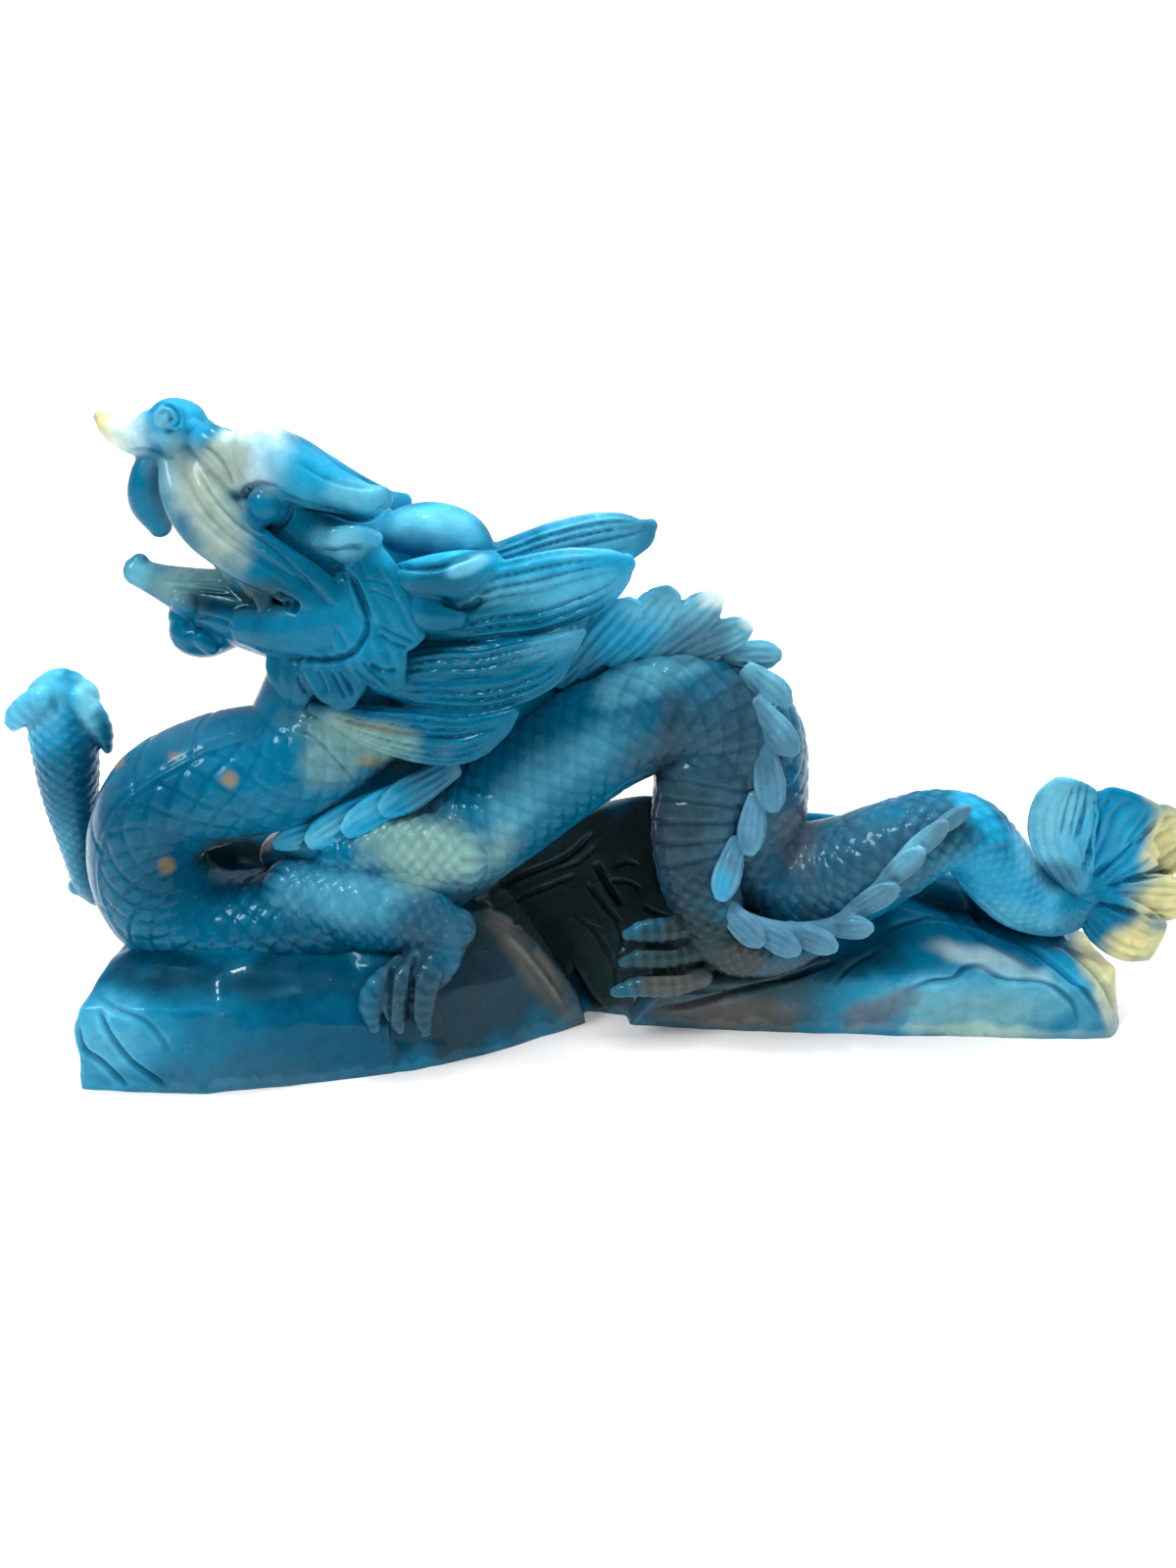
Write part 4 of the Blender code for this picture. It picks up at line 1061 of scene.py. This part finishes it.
ZONES = [
    # raised paw and far arm
    Zone(BRIGHT, (55, 722), (66, 46)), Zone(PALE, (40, 712), (40, 34), 0, 0.5),
    Zone(PALE, (90, 715), (16, 40)),
    Zone(PALE, (72, 880), (26, 60), 0, 0.35), Zone(DEEP, (95, 830), (16, 90), 0, 0.6),
    # neck and chest
    Zone(DEEP, (140, 840), (70, 100), 0, 0.7), Zone(OCHRE, (118, 775), (9, 9), 0, 0.8),
    Zone(OCHRE, (235, 795), (9, 8), 0, 0.7), Zone(OCHRE, (170, 883), (8, 8), 0, 0.7),
    Zone(OCHRE, (375, 775), (16, 9), 0, 0.7), Zone(TAN, (340, 780), (36, 26), 30, 0.6),
    Zone(DEEP, (250, 935), (90, 34), 10, 0.5), Zone(OCHRE, (178, 771), (6, 5), 0, 0.5),
    Zone(SLATE, (215, 750), (70, 18), -10, 0.3), Zone(SLATE, (300, 690), (60, 30), 0, 0.3),
    # near arm
    Zone(TAN, (440, 868), (74, 42), 5, 0.95), Zone(TAN, (385, 835), (50, 16), 10, 0.7),
    Zone(PALE, (350, 915), (60, 36), 0, 0.4), Zone(SLATE, (452, 945), (50, 34), 0, 0.9),
    Zone(CHARCOAL, (425, 1015), (56, 56), 0, 0.8), Zone(DEEP, (310, 960), (60, 26), 0, 0.6),
    # hump
    Zone(PALE, (560, 790), (110, 26), -35, 0.35), Zone(PALE, (670, 690), (70, 20), -20, 0.6),
    Zone(SLATE, (735, 730), (64, 60), 0, 0.75), Zone(SLATE, (725, 830), (90, 150), 0, 1.0, 0.4),
    Zone(CHARCOAL, (690, 860), (40, 110), 0, 0.85), Zone(CHARCOAL, (745, 820), (70, 130), 0, 0.45),
    Zone(CHARCOAL, (480, 912), (30, 9), -25, 0.6), Zone(SLATE, (612, 842), (36, 8), -35, 0.5),
    # hind foot
    Zone(CHARCOAL, (720, 975), (100, 44), 0, 1.0, 0.4), Zone(BLACK, (690, 980), (90, 44), 0, 0.85, 0.4),
    Zone(RUST, (780, 985), (60, 20), 10, 0.4),
    Zone(RUST, (690, 1006), (50, 12), 0, 0.6),
    # tail
    Zone(SLATE, (850, 870), (120, 62), 0, 0.95, 0.4), Zone(MAUVE, (815, 860), (20, 40), 0, 0.5),
    Zone(BRIGHT, (1020, 905), (66, 56), 0, 0.8), Zone(SLATE, (965, 845), (40, 30), 20, 0.7),
    Zone(BRIGHT, (1005, 835), (46, 14), 45, 0.7), Zone(PALE, (1030, 935), (56, 20), 20, 0.45),
    # tuft
    Zone(PALE, (1075, 840), (44, 60), 0, 0.9), Zone(BRIGHT, (1140, 865), (50, 60), 0, 0.8),
    Zone(DEEP, (1078, 893), (24, 14), 0, 0.7), Zone(CREAM, (1204, 870), (36, 50), 0, 1.0),
    Zone(CREAM, (1198, 920), (44, 26), 0, 1.0), Zone(CREAM, (1178, 965), (46, 26), 0, 1.0),
    Zone(CREAM, (1182, 806), (18, 16), 0, 0.7),
    # head
    Zone(CREAM, (108, 436), (22, 28), 0, 1.0), Zone(WHITE, (134, 440), (24, 24), 0, 0.7),
    Zone(BRIGHT, (180, 428), (40, 34), 0, 1.0), Zone(PALE, (176, 446), (30, 10), 0, 0.4),
    # the small pale cloud on the nostril's curl is a painted highlight
    Zone(PALE, (168, 424), (12, 10), 0, 0.7),
    # the white clouds on the brow's top are a painted highlight
    Zone(WHITE, (262, 455), (40, 40), 0, 1.0), Zone(WHITE, (256, 450), (26, 26), 0, 1.0, 0.3),
    Zone(BRIGHT, (325, 482), (70, 34), 20, 0.8),
    Zone(PALE, (365, 505), (44, 14), 10, 0.6), Zone(GREY_TAN, (205, 512), (34, 70), -30, 1.0),
    # the deep cloud below the eye is painted shade in the recessed face
    Zone(GREY_TAN, (228, 470), (28, 26), 0, 0.9), Zone(DEEP, (290, 555), (60, 16), 35, 0.3),
    Zone(TAN, (200, 598), (44, 20), 0, 0.7), Zone(PALE, (140, 585), (20, 18), 0, 0.8),
    Zone(TAN, (165, 590), (24, 18), 0, 0.5), Zone(PALE, (350, 552), (36, 16), 0, 0.8),
    Zone(BRIGHT, (440, 545), (70, 40), 0, 1.0), Zone(PALE, (440, 540), (56, 22), 0, 0.6),
    Zone(PALE, (476, 577), (28, 10), -25, 0.8, 0.3), Zone(DEEP, (420, 612), (50, 26), 0, 0.5),
    # the dark clouds along the mouth are painted shade inside it
    Zone(NIGHT, (238, 612), (44, 15), 0, 1.0), Zone(BLACK, (266, 608), (36, 18), 0, 0.5),
    Zone(BRIGHT, (165, 500), (24, 50), 0, 0.2), Zone(BRIGHT, (275, 520), (26, 22), 0, 0.15),
    Zone(BRIGHT, (330, 650), (60, 40), 0, 0.3), Zone(BRIGHT, (390, 640), (40, 60), 0, 0.3),
    # mane
    Zone(BRIGHT, (590, 570), (90, 50), 0, 0.8), Zone(PALE, (610, 545), (80, 26), -8, 0.45),
    Zone(PALE, (570, 600), (80, 20), -8, 0.4),
    Zone(TAN, (370, 752), (74, 22), 12, 0.95), Zone(OCHRE, (385, 742), (40, 6), 10, 0.4),
    Zone(PALE, (560, 660), (50, 14), -20, 0.3),
    # the loop's inside, painted black as shade
    Zone(BLACK, (238, 873), (46, 20), 0, 0.9, 0.4),
]

ROCK_ZONES = [
    Zone(BLACK, (590, 930), (134, 112), 0, 1.0, 0.4), Zone(BLACK, (650, 860), (90, 60), 0, 1.0, 0.4),
    Zone(BLACK, (770, 1000), (110, 56), 0, 0.95, 0.4),
    Zone(CHARCOAL, (485, 1010), (90, 74), 0, 0.9, 0.4), Zone(DEEP, (375, 1065), (40, 40), 0, 0.6),
    Zone(CHARCOAL, (425, 1015), (36, 56), 0, 0.7), Zone(BLACK, (665, 975), (60, 50), 0, 0.8),
    Zone(RUST, (545, 990), (16, 62), -38, 0.9), Zone(RUST, (735, 1034), (110, 18), 0, 0.85),
    Zone(CHARCOAL, (750, 985), (80, 36), 0, 0.4), Zone(NIGHT, (880, 975), (56, 34), -20, 0.8),
    # the dark cloud under the tail's arch is painted shadow
    Zone(NIGHT, (985, 925), (70, 14), 15, 0.7),
    # on the right block, the pale cloud on its front and the white streak at its top are the stone's pale
    # streaks with painted highlight on its facets
    Zone(BRIGHT, (900, 1025), (80, 34), 0, 0.5), Zone(PALE, (1000, 1025), (110, 34), 0, 0.7),
    Zone(TAN, (1000, 1032), (80, 22), 0, 0.5),
    Zone(WHITE, (1010, 980), (60, 12), 15, 0.45), Zone(MAUVE, (890, 1035), (34, 18), -10, 0.8),
    Zone(MAUVE, (920, 1018), (20, 10), -10, 0.6), Zone(BRIGHT, (1080, 980), (60, 14), 40, 0.7),
    Zone(CREAM, (1128, 990), (22, 60), -25, 0.8), Zone(CREAM, (1000, 1052), (100, 8), 2, 0.35),
    Zone(NIGHT, (170, 992), (110, 30), 0, 0.95), Zone(BRIGHT, (110, 1065), (60, 60), 0, 0.5),
    # the pale cloud on the left block's front face is a painted highlight
    Zone(PALE, (105, 1060), (50, 44), 0, 0.35),
    Zone(NIGHT, (300, 1000), (90, 30), 0, 0.8), Zone(DEEP, (330, 1070), (80, 60), 0, 0.6),
    Zone(SLATE, (250, 1100), (110, 26), 0, 0.5),
]

CREST_ZONES = [
    # hump, from its root leaves to its pale tips
    Zone(BLUE, (590, 690), (60, 40), -20, 0.9), Zone(BRIGHT, (630, 640), (70, 40), -20, 0.9),
    Zone(PALE, (690, 618), (60, 24), 0, 0.7), Zone(WHITE, (738, 608), (30, 14), -10, 0.9),
    Zone(PALE, (775, 655), (40, 30), 0, 0.6), Zone(WHITE, (770, 636), (14, 8), 0, 0.7),
    # neck
    Zone(BRIGHT, (350, 842), (90, 50), -30, 1.0, 0.4), Zone(PALE, (330, 850), (50, 12), -30, 0.6),
    Zone(BLUE, (430, 790), (50, 26), -30, 0.7), Zone(PALE, (384, 822), (24, 8), -30, 0.3),
    # hind column and tail
    Zone(PALE, (796, 715), (16, 40), -10, 0.4), Zone(SLATE, (778, 770), (12, 30), 0, 0.5),
    Zone(BRIGHT, (738, 905), (12, 24), 0, 0.6), Zone(SLATE, (800, 950), (50, 24), 0, 0.35),
    Zone(SLATE, (745, 860), (20, 30), 0, 0.4),
    Zone(SLATE, (860, 930), (30, 14), -30, 0.4), Zone(PALE, (930, 868), (30, 12), -50, 0.5),
]


class Shade:
    """A shader value that takes part in arithmetic: each expression adds its Math nodes."""

    def __init__(self, tree: "ShadeTree", output: bpy.types.NodeSocket) -> None:
        """Wraps an output socket of a node tree."""
        self.tree = tree
        self.output = output

    def _math(self, operation: str, left: object, right: object) -> "Shade":
        """One Math node on two values."""
        return self.tree.node("ShaderNodeMath", {"operation": operation}, {0: left, 1: right})

    def __add__(self, other: object) -> "Shade":
        """Sum."""
        return self._math("ADD", self, other)

    def __radd__(self, other: object) -> "Shade":
        """Sum, reflected."""
        return self._math("ADD", other, self)

    def __mul__(self, other: object) -> "Shade":
        """Product."""
        return self._math("MULTIPLY", self, other)

    def __rmul__(self, other: object) -> "Shade":
        """Product, reflected."""
        return self._math("MULTIPLY", other, self)

    def clamped(self) -> "Shade":
        """The value kept between 0 and 1."""
        return self.tree.node("ShaderNodeClamp", {}, {"Value": self})


@dataclass
class ShadeTree:
    """A material's node tree and the one way of adding nodes to it."""

    tree: bpy.types.NodeTree

    def node(self, kind: str, settings: dict, inputs: dict, out: object = 0) -> Shade:
        """Adds a node.

        Args:
            kind: the node's type.
            settings: its properties; "ramp" gives a ramp's stops.
            inputs: values or shades for its inputs.
            out: which output is wanted.

        Returns:
            The wrapped output.
        """
        made = self.tree.nodes.new(kind)
        for key, value in settings.items():
            if key == "ramp":
                for stop, (place, grey) in zip(made.color_ramp.elements, value):
                    stop.position = place
                    stop.color = (grey, grey, grey, 1)
            else:
                setattr(made, key, value)
        for key, value in inputs.items():
            if isinstance(value, Shade):
                self.tree.links.new(value.output, made.inputs[key])
            else:
                made.inputs[key].default_value = value
        return Shade(self, made.outputs[out])

    def noise(self, place: Shade, scale: float, detail: float = 3.0, distortion: float = 0.0) -> Shade:
        """A cloud noise, 0 to 1."""
        inputs = {"Vector": place, "Scale": scale, "Detail": detail, "Roughness": 0.55}
        return self.node("ShaderNodeTexNoise", {}, inputs | {"Distortion": distortion})

    def between(self, low: float, high: float, value: Shade) -> Shade:
        """0 below low, 1 above high and straight between."""
        return self.node("ShaderNodeValToRGB", {"ramp": [(low, 0.0), (high, 1.0)]}, {0: value})

    def blend(self, share: object, low: object, high: object, mode: str = "MIX") -> Shade:
        """Mixes two colours."""
        settings = {"data_type": "RGBA", "blend_type": mode}
        return self.node("ShaderNodeMix", settings, {0: share, 6: low, 7: high}, 2)

    def link(self, value: Shade, shader: bpy.types.Node, name: str) -> None:
        """Joins a value to one of a shader's inputs."""
        self.tree.links.new(value.output, shader.inputs[name])


@dataclass(frozen=True)
class StoneFinish:
    """Polished, slightly translucent stone: its clouds, specks and veins over the zones' tint, with painted
    shade in its hollows and painted highlight on its ridges.
    """

    name: str = "blue_stone"
    roughness: float = 0.26
    darker: tuple = (0.60, 0.78, 0.84, 1)
    lighter: tuple = (1.15, 1.16, 1.14, 1)
    speck: tuple = (0.34, 0.66, 0.72, 1)
    # painted shade: the colour that the hollows are multiplied by
    crease_shade: tuple = (0.22, 0.46, 0.55, 1)
    # painted highlight: the colours that lighten and pale the ridges, as sheen on raised edges
    ridge_highlight: tuple = (1.5, 1.7, 1.6, 1)
    ridge_sheen: tuple = (0.36, 0.68, 0.78, 1)
    shader_values: tuple = (("Specular IOR Level", 0.20), ("Specular Tint", (0.1, 0.75, 1.0, 1)),
                            ("Subsurface Weight", 0.05), ("Subsurface Radius", (0.35, 0.85, 1.0)),
                            ("Subsurface Scale", 0.0010), ("Coat Weight", 0.18), ("Coat Roughness", 0.05),
                            ("IOR", 1.54))

    def build(self) -> bpy.types.Material:
        """Makes the material."""
        material = bpy.data.materials.new(self.name)
        material.use_nodes = True
        shader = material.node_tree.nodes["Principled BSDF"]
        tree = ShadeTree(material.node_tree)
        place = tree.node("ShaderNodeTexCoord", {}, {}, "Object")
        tint = tree.node("ShaderNodeAttribute", {"attribute_name": "stone_tint"}, {}, "Color")
        hollow = tree.node("ShaderNodeAttribute", {"attribute_name": "hollow"}, {}, "Fac")
        clouds = tree.between(0.30, 0.70, tree.noise(place, 70.0, 5.0, 0.6))
        grain = tree.between(0.42, 0.62, tree.noise(place, 420.0, 4.0, 0.2))
        specks = tree.between(0.70, 0.78, tree.noise(place, 900.0, 2.0))
        dark = tree.blend(1.0, tint, self.darker, "MULTIPLY")
        light = tree.blend(1.0, tint, self.lighter, "MULTIPLY")
        colour = tree.blend(clouds, dark, light)
        colour = tree.blend(0.35, colour, tree.blend(grain, dark, light))
        colour = tree.blend(specks * 0.14, colour, self.speck)
        crease_shade, ridge_highlight = hollow.clamped(), (hollow * -1.0 + -0.35).clamped()
        # painted shade: vertices in hollows are darkened, as shade in creases and grooves
        colour = tree.blend(crease_shade * 0.65, colour, tree.blend(1.0, colour, self.crease_shade, "MULTIPLY"))
        # painted highlight: vertices on ridges are lightened and paled, as sheen on raised edges
        colour = tree.blend(ridge_highlight * 0.60, colour, tree.blend(1.0, colour, self.ridge_highlight, "MULTIPLY"))
        colour = tree.blend(ridge_highlight * 0.06, colour, self.ridge_sheen)
        tree.link(colour, shader, "Base Color")
        tree.link(self.roughness + 0.14 * grain + 0.25 * crease_shade, shader, "Roughness")
        fine = tree.noise(place, 650.0, 5.0) * 0.6 + tree.noise(place, 2100.0, 2.0) * 0.4
        relief = {"Height": fine, "Distance": 0.00012, "Strength": 0.30}
        bump = tree.node("ShaderNodeBump", {}, relief, "Normal")
        tree.link(bump, shader, "Normal")
        for name, value in self.shader_values:
            shader.inputs[name].default_value = value
        return material


def paint(piece: bpy.types.Object, base: Tint, zones: list, crease: float) -> None:
    """Lays the zones' tint and the hollows' depth on a piece's vertices; the material darkens the hollows as
    painted shade and lightens the ridges as painted highlight.

    Args:
        piece: the carved piece.
        base: the colour of the stone between the zones.
        zones: its clouds of other colours.
        crease: how strongly its hollows are darkened as painted shade and its ridges lightened as painted
            highlight.
    """
    mesh = piece.data
    co = vertex_rows(mesh.vertices, "co")
    view = front_view(co)
    cloud = wander(co, 0.013, 31) * 0.7 + wander(co, 0.006, 32) * 0.4
    tint = np.tile(np.array(base.colour), (len(co), 1))
    broad = soft_step(wander(co, 0.045, 33), -0.8, 0.9)[:, None]
    tint = tint * (0.82 + 0.30 * broad)
    for zone in zones:
        share = zone.weight(view, cloud)[:, None]
        tint = tint * (1 - share) + np.array(zone.tint.colour) * share
    colour = mesh.attributes.new("stone_tint", "FLOAT_COLOR", "POINT")
    colour.data.foreach_set("color", np.c_[tint, np.ones(len(co))].ravel())
    hollow = mesh.attributes.new("hollow", "FLOAT", "POINT")
    hollow.data.foreach_set("value", hollowness(mesh, co) * crease)


def hollowness(mesh: bpy.types.Mesh, co: np.ndarray) -> np.ndarray:
    """How deep each vertex lies below its neighbours, 0 to about 1.

    Args:
        mesh: the piece's mesh.
        co: its vertices' places.

    Returns:
        One value per vertex.
    """
    count = len(co)
    normal = vertex_rows(mesh.vertex_normals, "vector")
    edges = np.empty(len(mesh.edges) * 2, dtype=np.int32)
    mesh.edges.foreach_get("vertices", edges)
    edges = edges.reshape(-1, 2)
    both = np.r_[edges[:, 0], edges[:, 1]]
    other = np.r_[edges[:, 1], edges[:, 0]]
    neighbours = np.maximum(np.bincount(both, minlength=count), 1)
    smooth = co.copy()
    for _ in range(6):
        smooth = np.stack([np.bincount(both, smooth[other, k], minlength=count) for k in range(3)], axis=1)
        smooth /= neighbours[:, None]
    below = np.sum((smooth - co) * normal, axis=1)
    return np.clip(below / HOLLOW_DEPTH, -1, 1)


def make_stage() -> None:
    """The pale floor, the soft lights and the camera."""
    bm = bmesh.new()
    bmesh.ops.create_grid(bm, x_segments=1, y_segments=1, size=0.6)
    mesh = bpy.data.meshes.new("floor")
    bm.to_mesh(mesh)
    bm.free()
    floor = bpy.data.objects.new("floor", mesh)
    bpy.context.scene.collection.objects.link(floor)
    white = bpy.data.materials.new("floor_white")
    white.use_nodes = True
    shader = white.node_tree.nodes["Principled BSDF"]
    shader.inputs["Base Color"].default_value = (0.86, 0.86, 0.85, 1)
    shader.inputs["Roughness"].default_value = 0.6
    mesh.materials.append(white)
    for name, place, turn, size, power, mirrored in (
            ("sky", (0.0, 0.20, 0.9), (-12, 0, 0), 1.2, 18.0, False),
            ("window", (-0.55, -0.35, 0.75), (38, -30, 0), 0.22, 4.2, True),
            ("spark", (-0.10, 0.05, 0.75), (0, 0, 0), 0.06, 0.9, True),
            ("fill", (0.6, -0.55, 0.55), (52, 0, 48), 0.5, 2.2, False)):
        light = bpy.data.lights.new(name, "AREA")
        light.energy = power
        light.size = size
        lamp = bpy.data.objects.new(name, light)
        lamp.location = place
        lamp.rotation_euler = [math.radians(a) for a in turn]
        lamp.visible_glossy = mirrored
        bpy.context.scene.collection.objects.link(lamp)
    world = bpy.data.worlds.new("room")
    world.use_nodes = True
    tree = ShadeTree(world.node_tree)
    background = world.node_tree.nodes["Background"]
    way = tree.node("ShaderNodeTexCoord", {}, {}, "Generated")
    ahead = tree.node("ShaderNodeSeparateXYZ", {}, {0: way}, "Y")
    lit = {"From Min": -0.35, "From Max": 0.25, "To Min": 0.12, "To Max": 0.42}
    mirrored = tree.node("ShaderNodeMapRange", {}, {"Value": ahead} | lit)
    seen = tree.node("ShaderNodeLightPath", {}, {}, "Is Camera Ray")
    strength = tree.node("ShaderNodeMix", {}, {"Factor": seen, "A": mirrored, "B": 1.15})
    tree.link(strength, background, "Strength")
    background.inputs["Color"].default_value = (0.97, 0.98, 1.0, 1)
    bpy.context.scene.world = world
    bpy.context.scene.view_settings.view_transform = "Standard"
    lens = bpy.data.cameras.new("camera")
    lens.sensor_width = CAMERA_FILM
    lens.lens = FOCAL_PIXELS / VIEW_SIZE[1] * CAMERA_FILM
    lens.clip_start = 0.01
    camera = bpy.data.objects.new("camera", lens)
    camera.location = CAMERA_PLACE
    camera.rotation_euler = (math.pi / 2 - CAMERA_TILT, 0, 0)
    bpy.context.scene.collection.objects.link(camera)
    bpy.context.scene.camera = camera


def main() -> None:
    """Builds the statue's pieces, finishes them and sets the stage."""
    logging.basicConfig(level=logging.INFO, format="%(relativeCreated)d %(message)s")
    stone = StoneFinish().build()
    # the last number of each is the strength of its painted shade in hollows and painted highlight on ridges
    for maker, base, zones, crease in (
            (BodyCarving(), BLUE, ZONES, 1.0), (CrestCarving(), LEAF_BLUE, CREST_ZONES, 1.1),
            (HeadCarving(), BLUE, ZONES, 0.6), (ManeCarving(), BLUE, ZONES, 0.8),
            (LegCarving(), BLUE, ZONES, 1.0), (TuftCarving(), BLUE, ZONES, 0.5),
            (RockCarving(), BLUE, ROCK_ZONES, 1.0)):
        piece = maker.build()
        paint(piece, base, zones, crease)
        piece.data.materials.clear()
        piece.data.materials.append(stone)
        LOG.info("%s is finished", piece.name)
    make_stage()


if __name__ == "__main__":
    main()
